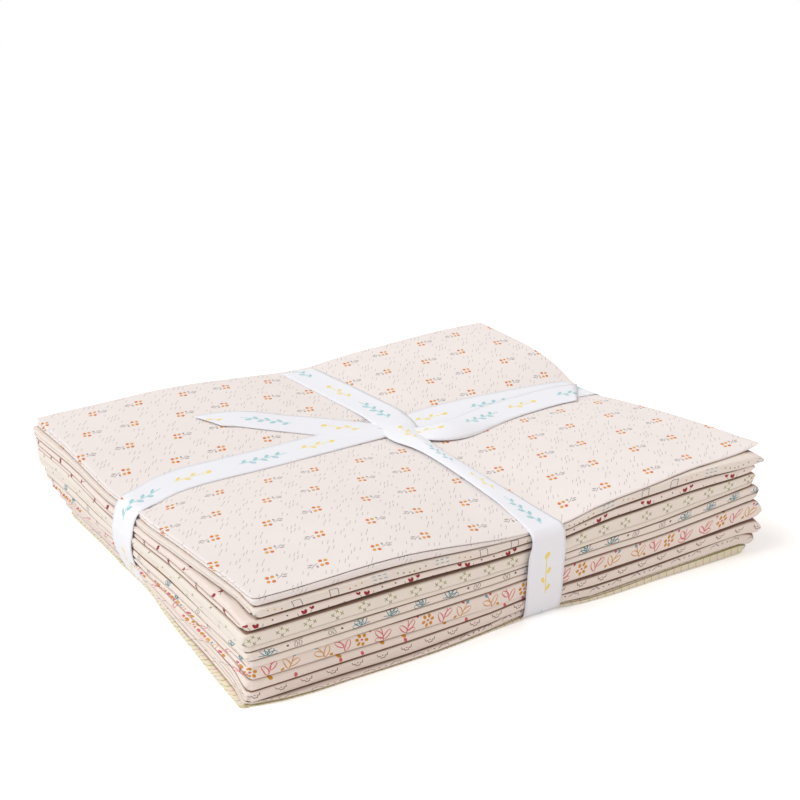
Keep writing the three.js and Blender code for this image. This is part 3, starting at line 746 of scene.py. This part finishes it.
# Each print: its ground, its repeat, how far it is shifted on the cloth, how every other repeat is turned,
# and its marks. A mark is its kind, its width, its ink and the two ends of each place that has it.
prints = {
    "cotton_sprig_rain": {
        "ground": "#efe8e6", "repeat": (25.2, 22.86), "shift": (293.2, 697.6), "turn": "half",
        "marks": [
            ("petal", 0.9, "orange", (-1.2, 0.5, -0.4, 1.9), (0.0, -2.9, 0.9, -1.6)),
            ("petal", 0.9, "apricot", (1.1, 0.5, 1.9, 1.8), (-2.2, -2.3, -1.3, -1.1)),
            ("stroke", 0.35, "greyStem", (2.8, -0.9, 4.4, -0.3), (4.4, -0.3, 6.8, 1.6)),
            ("petal", 0.4, "greyStem", (3.6, 0.4, 4.1, 2.2), (4.9, -0.8, 6.9, -1.2)),
            ("petal", 0.35, "greyStem", (6.2, 0.4, 8.0, 0.2)),
            ("stroke", 0.25, "rain", (-11.8, -10.8, -9.9, -8.4), (-9.8, -11.3, -7.8, -8.8),
             (-7.4, -8.6, -5.8, -6.6), (-12.2, -5.0, -10.8, -3.2), (3.2, -11.2, 5.2, -8.6),
             (5.2, -11.4, 7.4, -8.6), (7.8, -10.2, 9.6, -7.9), (3.6, -6.6, 5.0, -4.8),
             (9.4, 3.4, 11.2, 5.8), (10.8, 1.6, 12.2, 3.4), (-11.6, 0.6, -9.8, 3.0),
             (-9.4, 1.8, -7.2, 4.6), (-6.8, 1.4, -5.2, 3.4), (-8.4, 6.4, -6.8, 8.4),
             (-2.2, 7.2, -0.4, 9.4), (0.2, 6.6, 2.2, 9.2), (2.6, 6.0, 4.2, 8.2)),
        ],
    },
    "cotton_dots_dashes": {
        "ground": "#e9dfd7", "repeat": (47, 14), "shift": (283, 685.8), "turn": "across",
        "marks": [
            dots(0.7, "olive", (-22.4, -0.8), (-19.4, -0.3), (-16.4, 0.3)),
            dashes(0.45, "paleBlue", ((-10.8, -1.9), (-11.0, -0.2), (-10.8, 1.5))),
            dots(0.7, "yellow", (1.4, 0.6), (4.4, 0.1)),
            dots(0.7, "orange", (7.4, -0.4)),
            ("stroke", 0.3, "dark", (13.0, -1.9, 17.0, -1.7), (13.0, -1.9, 12.7, 1.7),
             (12.7, 1.7, 16.6, 1.9), (16.7, 1.8, 17.0, -1.7)),
        ],
    },
    "cotton_hearts": {
        "ground": "#ecdfd7", "repeat": (26, 13.85), "shift": (281.6, 685.8), "turn": "across",
        "marks": [
            ("petal", 0.6, "red", (-2.7, 1.3, -1.9, 0.2), (3.0, 0.5, 2.1, -1.1)),
            ("petal", 0.5, "red", (-1.1, 1.2, -1.8, 0.2)),
            ("petal", 0.7, "red", (1.0, 0.6, 1.9, -1.1)),
            ("stroke", 0.3, "grey", (-1.8, 0.1, -0.4, -1.8), (2.0, -1.2, 4.4, -1.8),
             (4.4, -1.8, 5.2, -0.2)),
            dots(0.7, "dark", (9.6, 0.4)),
            dots(0.5, "dark", (-9.4, -1.1)),
        ],
    },
    "cotton_cross_stitch": {
        "ground": "#eae1d7", "repeat": (12.9, 15.5), "shift": (283, 686.2), "turn": "across",
        "marks": [
            *crossStitch(-2.2, 0.0, "green", "green"),
            *crossStitch(2.2, 0.1, "grey", "green"),
            *crossStitch(-0.1, 1.5, "green", "green"),
            *crossStitch(0.1, -1.6, "green", "grey"),
        ],
    },
    "cotton_leaf_fans": {
        "ground": "#ebe0d7", "repeat": (45, 15), "shift": (286.9, 686.2), "turn": "across",
        "marks": [
            ("outline", 0.5, "teal", (-14.6, -1.4, -18.4, -0.9), (-14.6, -1.2, -17.6, 0.9),
             (-14.4, -1.0, -15.6, 1.9), (-14.2, -1.0, -13.0, 1.9), (0.6, -1.4, 4.4, -1.0),
             (0.4, -1.2, 3.4, 1.0), (0.2, -1.0, 0.7, 2.0), (0.0, -1.0, -2.2, 1.5)),
            ("stroke", 0.35, "teal", (-14.9, -1.5, -10.8, -0.7), (0.8, -1.5, -3.6, -0.9)),
            ("stroke", 0.9, "dark", (9.6, 0.1, 9.8, 0.2)),
            ("outline", 0.45, "grey", (13.2, -1.2, 13.8, 0.5), (15.2, -1.0, 15.8, 0.7)),
            ("stroke", 0.35, "grey", (13.0, 1.3, 17.4, 1.8)),
        ],
    },
    "cotton_daisies": {
        "ground": "#ecdfd7", "repeat": (42, 20.3), "shift": (284.6, 686.4), "turn": "across",
        "marks": [
            ("petal", 0.9, "mustard", (-5.9, 1.2, -6.5, 2.2), (-4.1, 1.4, -3.7, 2.5),
             (-3.0, 0.2, -2.0, 0.6), (-3.6, -1.1, -2.8, -1.9), (-5.1, -1.5, -5.4, -2.5),
             (-6.4, -0.3, -7.4, -0.6)),
            ("stroke", 0.9, "coral", (-4.9, 0.0, -4.5, 0.1)),
            ("stroke", 0.4, "coral", (3.0, -3.0, 5.4, 2.6), (-15.2, -3.0, -14.4, 2.4)),
            ("outline", 0.45, "coral", (3.0, -2.6, 1.0, 1.6), (4.0, -0.6, 7.4, 2.0),
             (-15.4, -2.2, -18.6, 0.8), (-14.8, -1.8, -11.6, 1.8)),
            ("outline", 0.5, "coral", (-15.2, -2.6, -11.4, -2.0)),
            ("stroke", 0.4, "mustard", (12.6, -2.6, 15.4, 2.2)),
            ("outline", 0.55, "mustard", (12.8, -2.4, 10.8, 1.8), (13.6, -1.4, 17.4, 0.2)),
            ("petal", 0.8, "sky", (15.6, 2.4, 16.6, 3.0)),
            ("petal", 0.6, "mustard", (9.0, -2.6, 10.2, -2.0)),
            ("petal", 0.6, "coral", (-9.6, 2.6, -9.0, 3.4)),
            ("petal", 0.8, "coral", (14.2, 2.9, 13.6, 3.4), (-5.4, 8.1, -5.0, 9.8),
             (15.7, 8.3, 16.0, 9.8)),
            ("petal", 0.9, "coral", (-4.9, -4.4, -5.4, -6.6), (15.6, -4.4, 16.1, -6.5)),
            ("petal", 1.0, "mustard", (-5.5, 4.3, -5.0, 6.9), (-5.3, -7.7, -4.9, -9.8),
             (15.9, -7.8, 15.5, -9.8)),
            ("petal", 1.0, "apricot", (15.5, 4.6, 16.1, 6.9)),
        ],
    },
    "cotton_scallops": {
        "ground": "#eaddd5", "repeat": (11.9, 10.274), "shift": (282, 687.1), "turn": "across",
        "marks": [
            ("stroke", 0.35, "brown", (-2.5, 0.2, -2.2, -0.8), (-2.2, -0.8, -1.2, -0.7),
             (-1.2, -0.7, -0.9, -1.6), (-0.9, -1.6, 0.8, -1.6), (1.1, -0.7, 2.1, -0.7),
             (2.1, -0.7, 2.5, 0.3)),
            ("stroke", 0.35, "olive", (0.8, -1.6, 1.1, -0.7)),
            ("stroke", 0.5, "purple", (-0.1, -0.4, 0.1, -0.4)),
        ],
    },
    "cotton_clouds": {
        "ground": "#ebdfd7", "repeat": (12.4, 10.886), "shift": (285, 686.6), "turn": "across",
        "marks": [
            ("stroke", 0.3, "cloud", (-3.0, -0.5, -2.2, 0.5), (-2.2, 0.5, -1.0, 0.2),
             (-1.0, 0.2, 0.0, 1.0), (0.0, 1.0, 1.2, 0.2)),
            ("stroke", 0.3, "dark", (1.2, 0.2, 2.4, -0.4)),
            ("stroke", 0.5, "dark", (4.4, 0.0, 4.8, 0.1)),
        ],
    },
}


def newMaterial(name, build):
    # A material with the shader that build makes in its tree.
    material = bpy.data.materials.new(name)
    material.use_nodes = True
    tree = material.node_tree
    tree.nodes.clear()
    addNode(tree, "ShaderNodeOutputMaterial", {"Surface": build(tree)})
    return material


def printedColour(tree, design):
    # The ground, with each ink of the print over it.
    place = clothPlace(tree, design)
    byInk = {}
    for kind, width, ink, *ends in design["marks"]:
        for startX, startY, endX, endY in ends:
            mark = addNode(tree, "ShaderNodeGroup", {
                "Place": place, "From": (startX, startY, 0), "To": (endX, endY, 0), "Width": width,
            }, node_tree=marks[kind])
            if ink in byInk:
                mark = addNode(tree, "ShaderNodeMath", {0: byInk[ink], 1: mark}, operation="MAXIMUM")
            byInk[ink] = mark
    shown = linear(design["ground"])
    for ink, amount in byInk.items():
        mixed = addNode(tree, "ShaderNodeMix", {"Factor": amount, "A": shown, "B": linear(inks[ink])},
                        data_type="RGBA")
        shown = mixed.outputs["Result"]
    return shown


cotton = {
    "threads": 0.55,  # their spacing, near twice the real one, so that they show
    "mottle": (0.045, 3.0, 0.975),  # scale, detail, and the tone of its darkest places
    "fuzz": (0.8, 2.0),  # scale and detail
    "bump": (0.25, 0.00012),  # strength, and height in metres
    "paintedShade": "#a88d7d",  # painted shade between two cuts, where only light off other cloth comes in: the colour is multiplied by this
    "wrongSide": "#efe6df",  # the ground cloth with no print
}


def wovenCotton(tree, shown):
    # Quilting cotton, plain weave, screen printed: matt, with a faint thread texture and soft fuzz.
    flat = addNode(tree, "ShaderNodeUVMap", uv_map="cloth")
    scale, detail, darkest = cotton["mottle"]
    mottle = addNode(tree, "ShaderNodeTexNoise", {"Vector": flat, "Scale": scale, "Detail": detail})
    tone = addNode(tree, "ShaderNodeMapRange", {
        "Value": mottle.outputs["Fac"], "From Min": 0.3, "From Max": 0.7, "To Min": darkest, "To Max": 1.0,
    })
    # painted shade: the colour is multiplied towards a warm brown where other cloth covers the sheet
    paintedShade = addNode(tree, "ShaderNodeAttribute", attribute_name="paintedShade")
    shaded = addNode(tree, "ShaderNodeMix", {
        "Factor": paintedShade.outputs["Fac"], "A": shown, "B": linear(cotton["paintedShade"]),
    }, data_type="RGBA", blend_type="MULTIPLY").outputs["Result"]
    toned = addNode(tree, "ShaderNodeVectorMath", {0: shaded, "Scale": tone}, operation="SCALE")
    perThread = math.pi / cotton["threads"]
    threads = addNode(tree, "ShaderNodeVectorMath", {0: flat, "Scale": perThread}, operation="SCALE")
    parts = addNode(tree, "ShaderNodeSeparateXYZ", {0: threads})
    warp = addNode(tree, "ShaderNodeMath", {0: parts.outputs["X"]}, operation="SINE")
    weft = addNode(tree, "ShaderNodeMath", {0: parts.outputs["Y"]}, operation="SINE")
    weave = addNode(tree, "ShaderNodeMath", {0: warp, 1: weft}, operation="MULTIPLY")
    scale, detail = cotton["fuzz"]
    fuzz = addNode(tree, "ShaderNodeTexNoise", {"Vector": flat, "Scale": scale, "Detail": detail})
    height = addNode(tree, "ShaderNodeMath", {0: weave, 1: 0.5, 2: fuzz.outputs["Fac"]},
                     operation="MULTIPLY_ADD")
    strength, distance = cotton["bump"]
    bump = addNode(tree, "ShaderNodeBump", {"Strength": strength, "Distance": distance, "Height": height})
    return addNode(tree, "ShaderNodeBsdfPrincipled", {
        "Base Color": toned, "Roughness": 0.9, "Specular IOR Level": 0.25, "Sheen Weight": 0.12,
        "Sheen Roughness": 0.6, "Normal": bump,
    })


# Thin crossing lines. A line is its middle in the repeat, its width and its ink.
plaid = {
    "ground": "#e9e0ca", "repeat": 19.05,
    "along": [(0.6, 0.4, "lime"), (5.4, 0.35, "lilac"), (10.2, 0.4, "lime"), (15.0, 0.35, "rose")],
    "across": [(2.4, 1.0, "lime"), (6.4, 0.4, "lilac"), (9.6, 0.5, "lime"), (12.4, 0.4, "rose"),
               (16.2, 0.9, "lime")],
    "blur": 0.1,  # how soft a line's edges are
    "strength": 0.75,
}


def plaidColour(tree):
    # The ground, with each line over it.
    flat = addNode(tree, "ShaderNodeUVMap", uv_map="cloth")
    parts = addNode(tree, "ShaderNodeSeparateXYZ", {0: flat})
    repeat, blur = plaid["repeat"], plaid["blur"]
    shown = linear(plaid["ground"])
    for axis, way in (("X", "along"), ("Y", "across")):
        for middle, width, ink in plaid[way]:
            moved = addNode(tree, "ShaderNodeMath", {0: parts.outputs[axis], 1: middle - repeat / 2},
                            operation="SUBTRACT")
            inRepeat = addNode(tree, "ShaderNodeMath", {0: moved, 1: repeat}, operation="FLOORED_MODULO")
            away = addNode(tree, "ShaderNodeMath", {0: inRepeat, 1: repeat / 2}, operation="SUBTRACT")
            apart = addNode(tree, "ShaderNodeMath", {0: away}, operation="ABSOLUTE")
            near = addNode(tree, "ShaderNodeMapRange", {
                "Value": apart, "From Min": width / 2 + blur, "From Max": width / 2 - blur,
                "To Min": 0.0, "To Max": plaid["strength"],
            })
            mixed = addNode(tree, "ShaderNodeMix", {"Factor": near, "A": shown, "B": linear(inks[ink])},
                            data_type="RGBA")
            shown = mixed.outputs["Result"]
    return shown


# A teal sprig and a yellow one, in a row along the ribbon.
ribbonPrint = {
    "ground": "#edeff6", "repeat": (70, 60), "shift": (12, 0), "turn": "none",
    "marks": [
        ("stroke", 0.6, "ribbonTeal", (-31, 0.2, -5, -0.2)),
        ("petal", 0.7, "ribbonTeal", (-29.2, 0.8, -26.8, 2.8), (-26.0, -0.6, -23.6, -2.7),
         (-22.8, 0.7, -20.4, 2.8), (-19.6, -0.7, -17.2, -2.8), (-16.6, 0.7, -14.2, 2.7),
         (-13.4, -0.7, -11.0, -2.7), (-10.4, 0.6, -8.0, 2.5)),
        ("stroke", 0.6, "ribbonYellow", (4, 0.4, 21, -0.4)),
        ("petal", 0.7, "ribbonYellow", (5.4, 1.1, 7.8, 2.5), (9.4, -0.9, 11.8, -2.4), (13.6, 0.9, 16.0, 2.4)),
        ("petal", 1.2, "ribbonYellow", (21.4, -1.0, 23.4, 0.8)),
    ],
}


def satin(tree):
    # Woven polyester satin: close and white, with a soft shine, fine ribs along it and small printed sprigs.
    shown = printedColour(tree, ribbonPrint)
    flat = addNode(tree, "ShaderNodeUVMap", uv_map="cloth")
    ribsEachWay = (1.2, 9.0, 0)  # long along the ribbon and close across it
    ribs = addNode(tree, "ShaderNodeVectorMath", {0: flat, 1: ribsEachWay}, operation="MULTIPLY")
    threads = addNode(tree, "ShaderNodeTexNoise", {"Vector": ribs, "Scale": 1.0, "Detail": 2.0})
    height = threads.outputs["Fac"]
    bump = addNode(tree, "ShaderNodeBump", {"Strength": 0.15, "Distance": 0.0001, "Height": height})
    return addNode(tree, "ShaderNodeBsdfPrincipled", {
        "Base Color": shown, "Roughness": 0.42, "Specular IOR Level": 0.45, "Sheen Weight": 0.15,
        "Sheen Roughness": 0.4, "Normal": bump,
    })


def alongPath(stations, steps):
    # Spreads points evenly between stations of a path, each a tuple of numbers.
    table = np.array(stations, float)
    at = np.linspace(0, len(table) - 1, (len(table) - 1) * steps + 1)
    return np.stack([curveThrough(range(len(table)), table[:, i], at) for i in range(table.shape[1])], -1)


def clothTop(x, y):
    # The height of the pile's upper face.
    return cutFloors(np.asarray(x, float), np.asarray(y, float))[0]


def flatLengths(middle):
    steps = np.linalg.norm(np.diff(middle, axis=0), axis=1)
    return np.concatenate([[0], np.cumsum(steps)])


acrossRibbon = np.linspace(-1, 1, 11)
ribbonForm = {
    "edge": (0.12, 3),  # how far a turn's edges bend down to the cloth, and how sharply
    "pinch": (-6, 22),  # where along Y the knot pinches the short turn, and its reach
    "pleats": (0.3, 5.2), "ridge": 0.5,  # the pleats' height and closeness, and the height of the ridge
    "arch": (1.0, 0.85, 2.6),  # lifted further than this, its edges reach down by this share, this sharply
    "cup": 2.4,  # how flat the middle of a free end is
}

# Both turns of the ribbon. over: the stretch on the top as along, middle, width, lift. down, under and up:
# along, middle, height, where down and up count their heights from the cloth at the end of the top stretch.
longWay = {
    "over": [(-132, 5.4, 22, 0.8), (-126, 7.6, 22, 0.4), (-117, 11.2, 22, 0.35), (-106, 13.4, 22, 0.35),
             (-80, 14.2, 22, 0.4), (-60, 14.8, 22, 0.35), (-42, 16.2, 21.6, 0.4), (-26, 17.6, 21, 0.45),
             (-10, 18.4, 19.6, 0.6), (8, 18.6, 18.4, 0.8), (24, 19, 19, 0.8), (40, 19.6, 21, 0.5),
             (60, 19.2, 22, 0.4), (80, 18.2, 22, 0.4), (100, 16.8, 22, 0.35), (118, 15.4, 22, 0.35),
             (133, 14.6, 22, 0.4)],
    "down": [(137.4, 14.3, -0.1), (140.6, 14, -1.9), (142.4, 14, -5), (143, 14, -10)],
    "under": [(143.2, 14, 30), (143, 14, 16), (142.2, 14, 6), (140.8, 14, 1.4), (138.4, 14, 0.35),
              (134, 14, 0.25), (126, 14, 0.25), (80, 14, 0.25), (9, 14, 0.25), (-50, 14.4, 0.25),
              (-100, 15, 0.25), (-118, 15.4, 0.3), (-125, 15.6, 0.5), (-128.8, 15.2, 1.6),
              (-131.4, 14.2, 4.6), (-133.7, 12.8, 8.6), (-136, 11, 13.4), (-138.8, 8.8, 19),
              (-140.9, 6.9, 26), (-141.4, 5.6, 32)],
    "up": [(-141.1, 5.0, -11.5), (-140.6, 4.8, -7.8), (-139.7, 4.7, -4.3), (-138.2, 4.9, -1.6),
           (-135.8, 5.1, 0.35)],
    "downWidth": 22, "underWidth": 22, "upWidth": 22,
}
shortWay = {
    "over": [(-109, 8.5, 17.4, 0.35), (-100, 7.9, 15.4, 0.5), (-90, 7.6, 13.2, 0.9),
             (-76, 7.9, 11.6, 1.5), (-62, 8.8, 10.6, 1.9), (-46, 9.6, 9.8, 2.1), (-30, 10.6, 9.6, 2.3),
             (-17, 11.4, 10.8, 2.5), (-8, 11.6, 13.6, 2.9), (1, 12.2, 17.4, 3.1), (10, 14, 20.4, 3.0),
             (21, 17, 21.4, 2.2), (33, 18, 21.4, 1.2), (46, 17, 21, 0.7), (60, 15.4, 21, 0.4),
             (76, 13.8, 21, 0.35), (92, 12, 21, 0.35), (108, 10.4, 20.6, 0.35)],
    "down": [(112.8, 10.2, -0.3), (115.6, 10.2, -2.4), (116.7, 10.2, -6)],
    "under": [(116.9, 10.2, 48), (117, 10, 30), (116.6, 9.5, 7), (115.2, 9.5, 1.4), (112.8, 9.5, 0.35),
              (108, 9.4, 0.25), (100, 9.2, 0.25), (60, 9, 0.25), (26, 9, 0.4), (14, 9, 0.75), (2, 9, 0.4),
              (-60, 8.4, 0.25), (-98, 7.6, 0.25), (-106, 7.4, 0.25), (-110.8, 7.3, 0.35),
              (-113.6, 7.2, 1.4), (-115.3, 7, 4.8), (-116.2, 7, 12), (-116.7, 7.2, 24), (-117, 7.6, 32)],
    "up": [(-117, 8.1, -6.4), (-116.5, 8.3, -3.2), (-114.6, 8.4, -0.9), (-112, 8.5, 0)],
    "downWidth": 21, "underWidth": 20.6, "upWidth": 18.6,
}


def closedTurn(way, place):
    # The middle line of one turn: along, middle, width, height, and how fully it lies on the cloth.
    # place turns along and middle to x and y.
    over = np.array(way["over"], float)
    points, steps, meeting = 45, 3, 9  # on the top stretch, between stations, and where the ends meet below
    at = np.linspace(over[0, 0], over[-1, 0], points)
    middle, width, lift = (curveThrough(over[:, 0], over[:, i], at) for i in (1, 2, 3))
    top = clothTop(*place(at, middle))
    stations = [(*row, 1) for row in zip(at, middle, width, top + lift)]
    stations += [(a, m, way["downWidth"], top[-1] + drop, 0) for a, m, drop in way["down"]]
    stations += [(a, m, way["underWidth"], z, 0) for a, m, z in way["under"]]
    stations += [(a, m, way["upWidth"], top[0] + drop, 0) for a, m, drop in way["up"]]
    path = alongPath(stations + stations[:1], steps)[:-1]
    path = np.roll(path, -steps * (points + len(way["down"]) + meeting), axis=0)
    return (part[:, None] for part in np.concatenate([path, path[:1]]).T)


def besideMiddle(x, y, middleX, middleY):
    # How much higher than its middle a turn is beside it.
    bend, sharpness = ribbonForm["edge"]
    return clothTop(x, y) - clothTop(middleX, middleY) - bend * np.abs(acrossRibbon) ** sharpness


def longTurn():
    # Once round along X, snug on the cloth.
    along, middle, width, height, onCloth = closedTurn(longWay, lambda a, m: (a, m))
    x, y = along + 0 * acrossRibbon, middle + acrossRibbon * width / 2
    return np.stack([x, y, height + besideMiddle(x, y, along, middle) * onCloth], -1)


def shortTurn():
    # Once round along Y, over the long turn, drawn narrow and pleated by the knot.
    along, middle, width, height, onCloth = closedTurn(shortWay, lambda a, m: (m, a))
    x, y = middle + acrossRibbon * width / 2, along + 0 * acrossRibbon
    beside = besideMiddle(x, y, middle, along) * onCloth
    pinchAt, reach = ribbonForm["pinch"]
    high, closeness = ribbonForm["pleats"]
    folds = high * np.cos(acrossRibbon * closeness) + ribbonForm["ridge"] * (1 - acrossRibbon**2)
    pleat = hollow(along - pinchAt, reach) * onCloth * folds
    lift = (height - clothTop(middle, along)) * onCloth
    clear, share, sharpness = ribbonForm["arch"]
    arch = np.maximum(lift - clear, 0) * np.abs(acrossRibbon) ** sharpness * share
    return np.stack([x, y, height + beside + pleat - arch], -1)


# The free ends from the knot out: x, y, lift, width, way across from +X in degrees, cup, tilt.
rightTail = [
    (14, 9, 1.6, 11, 60, 0.3, 0), (19, 3.6, 1.7, 15, 56, 0.8, 0.2), (26, -1.8, 1.7, 19.5, 66, 2.6, 0.6),
    (34, -4.2, 1.5, 21.4, 84, 3.2, 0.9), (44, -3.0, 1.1, 22, 97, 2.4, 0.9),
    (56, 0.8, 0.9, 22, 102, 1.3, 0.7), (70, 4.4, 0.8, 22, 100, 0.7, 0.4),
    (88, 7.2, 0.75, 22, 97, 0.4, 0.2), (104, 8.8, 0.75, 22, 93, 0.3, 0), (116, 9, 0.8, 23.5, 78, 0.3, 0),
    (128, 8.4, 0.9, 28.6, 50, 0.3, 0),
]
leftTail = [
    (15, 12, 0.7, 13, -123, 1.0, 0), (7, 17.6, 0.5, 18, -123, 1.1, 0),
    (-1, 23.2, 0.35, 20.6, -123, 1.0, 0), (-12, 30.8, 0.3, 21, -123.5, 0.7, 0),
    (-24, 39.2, 0.35, 20.6, -123.5, 0.4, 0), (-36.5, 47.6, 0.45, 20.2, -124, 0.2, 0),
    (-44, 53.2, 0.5, 19.8, -127, 0.2, 0), (-52.1, 59, 0.6, 18.6, -134, 0.2, 0),
    (-61, 62.7, 0.8, 17, -105, 0.2, 0), (-68.4, 64, 0.9, 17.4, -66, 0.2, 0),
]


def freeEnd(stations):
    steps = 4  # between stations
    x, y, lift, width, turn, cup, tilt = (part[:, None] for part in alongPath(stations, steps).T)
    x = x + np.cos(np.radians(turn)) * acrossRibbon * width / 2
    y = y + np.sin(np.radians(turn)) * acrossRibbon * width / 2
    rise = cup * (1 - np.abs(acrossRibbon) ** ribbonForm["cup"]) + tilt * acrossRibbon
    return np.stack([x, y, clothTop(x, y) + lift + rise], -1)


def ribbonGrids():
    grids, along = [], 0.0
    for places in (longTurn(), shortTurn(), freeEnd(rightTail), freeEnd(leftTail)):
        middle = places[:, places.shape[1] // 2]
        lengths = flatLengths(middle) + along
        across = acrossRibbon * ribbonTie["width"] / 2
        flat = np.stack(np.broadcast_arrays(lengths[:, None], across[None, :]), -1)
        grids.append((places, flat, np.zeros(flat.shape[:2])))
        along = lengths[-1]
    return grids, along


cottons = [
    newMaterial(name, lambda tree: wovenCotton(tree, printedColour(tree, design)))
    for name, design in prints.items()
]
cottons.append(newMaterial("cotton_plaid", lambda tree: wovenCotton(tree, plaidColour(tree))))
wrongSide = newMaterial("cotton_wrong_side", lambda tree: wovenCotton(tree, linear(cotton["wrongSide"])))
ribbonSatin = newMaterial("ribbon_satin", satin)
print(f"{len(cottons)} printed cottons, their wrong side and the satin made")

for number, cut in enumerate(cuts):
    middleColumns, middleRows = clothFolds["topMiddle" if number == 0 else "middle"]
    grid = foldedPlaces(number, middleColumns, middleRows)
    piece = clothMesh(f"folded_{cut['node']}", [grid], clothFolds["thickness"], [cottons[number], wrongSide])
    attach(piece, "root")
    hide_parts(cut["node"])
    print(f"{cut['node']} folded: {len(piece.data.polygons)} faces")

grids, ribbonLength = ribbonGrids()
ribbon = clothMesh("satin_ribbon", grids, ribbonTie["thickness"], [ribbonSatin])
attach(ribbon, "root")
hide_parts("ribbon_tie")
print(f"ribbon: {ribbonLength:.0f} mm long")


studio = {
    "floorSize": 6.0, "floor": "#fbfbfb",
    "floorLift": 0.32,  # how much brighter than lit the camera sees the floor
    "light": ("#fffdfb", 0.55),  # from all round
    "backdrop": ("#ffffff", 1.0),
    # lamps: where each shines from, its strength, how wide it looks in degrees, and its colour
    "key": ((-1.0, 0.33, 1.1), 1.72, 50, "#ffffff"),
    "front fill": ((0.4, -1.0, 0.6), 0.5, 70, "#ffe2d0"),
}


def whiteFloor(tree):
    # Plain white floor. The camera sees it a little past white, so that only the shadow shows.
    paper = addNode(tree, "ShaderNodeBsdfDiffuse", {"Color": linear(studio["floor"])})
    byCamera = addNode(tree, "ShaderNodeLightPath").outputs["Is Camera Ray"]
    lift = addNode(tree, "ShaderNodeMath", {0: byCamera, 1: studio["floorLift"]}, operation="MULTIPLY")
    glow = addNode(tree, "ShaderNodeEmission", {"Color": (1, 1, 1, 1), "Strength": lift})
    return addNode(tree, "ShaderNodeAddShader", {0: paper, 1: glow})


floorMesh = bpy.data.meshes.new("floor")
half = studio["floorSize"] / 2
corners = [(-half, -half, 0), (half, -half, 0), (half, half, 0), (-half, half, 0)]
floorMesh.from_pydata(corners, [], [(0, 1, 2, 3)])
floorMesh.materials.append(newMaterial("white_floor", whiteFloor))
floor = bpy.data.objects.new("floor", floorMesh)
bpy.context.scene.collection.objects.link(floor)

for name in ("key", "front fill"):
    fromWhere, strength, size, colour = studio[name]
    lamp = bpy.data.lights.new(name, "SUN")
    lamp.energy = strength
    lamp.angle = math.radians(size)
    lamp.color = linear(colour)[:3]
    holder = bpy.data.objects.new(name, lamp)
    holder.rotation_euler = (-Vector(fromWhere)).to_track_quat("-Z", "Y").to_euler()
    bpy.context.scene.collection.objects.link(holder)

world = bpy.data.worlds.new("studio")
bpy.context.scene.world = world
world.use_nodes = True
sky = world.node_tree
sky.nodes.clear()
# the camera and the shines see the plain backdrop, and all else is lit softly
rays = addNode(sky, "ShaderNodeLightPath").outputs
seen = addNode(sky, "ShaderNodeMath", {0: rays["Is Camera Ray"], 1: rays["Is Glossy Ray"]},
               operation="MAXIMUM")
light, backdrop = (
    addNode(sky, "ShaderNodeBackground", {"Color": linear(studio[name][0]), "Strength": studio[name][1]})
    for name in ("light", "backdrop")
)
either = addNode(sky, "ShaderNodeMixShader", {0: seen, 1: light, 2: backdrop})
addNode(sky, "ShaderNodeOutputWorld", {"Surface": either})

view = {
    "lens": 65.97, "sensor": 36,
    "place": (-0.3726, -0.5770, 0.2977),
    "turn": -33.3, "rise": 18.2,  # degrees round from the front, and up
}
camera = bpy.data.objects.new("camera", bpy.data.cameras.new("camera"))
camera.data.lens = view["lens"]
camera.data.sensor_width = view["sensor"]
camera.location = view["place"]
turn, rise = math.radians(view["turn"]), math.radians(view["rise"])
backwards = Vector((math.sin(turn) * math.cos(rise), -math.cos(turn) * math.cos(rise), math.sin(rise)))
camera.rotation_euler = (-backwards).to_track_quat("-Z", "Y").to_euler()
bpy.context.scene.collection.objects.link(camera)
bpy.context.scene.camera = camera
bpy.context.scene.view_settings.view_transform = "Standard"
print("floor, lamps and camera set")
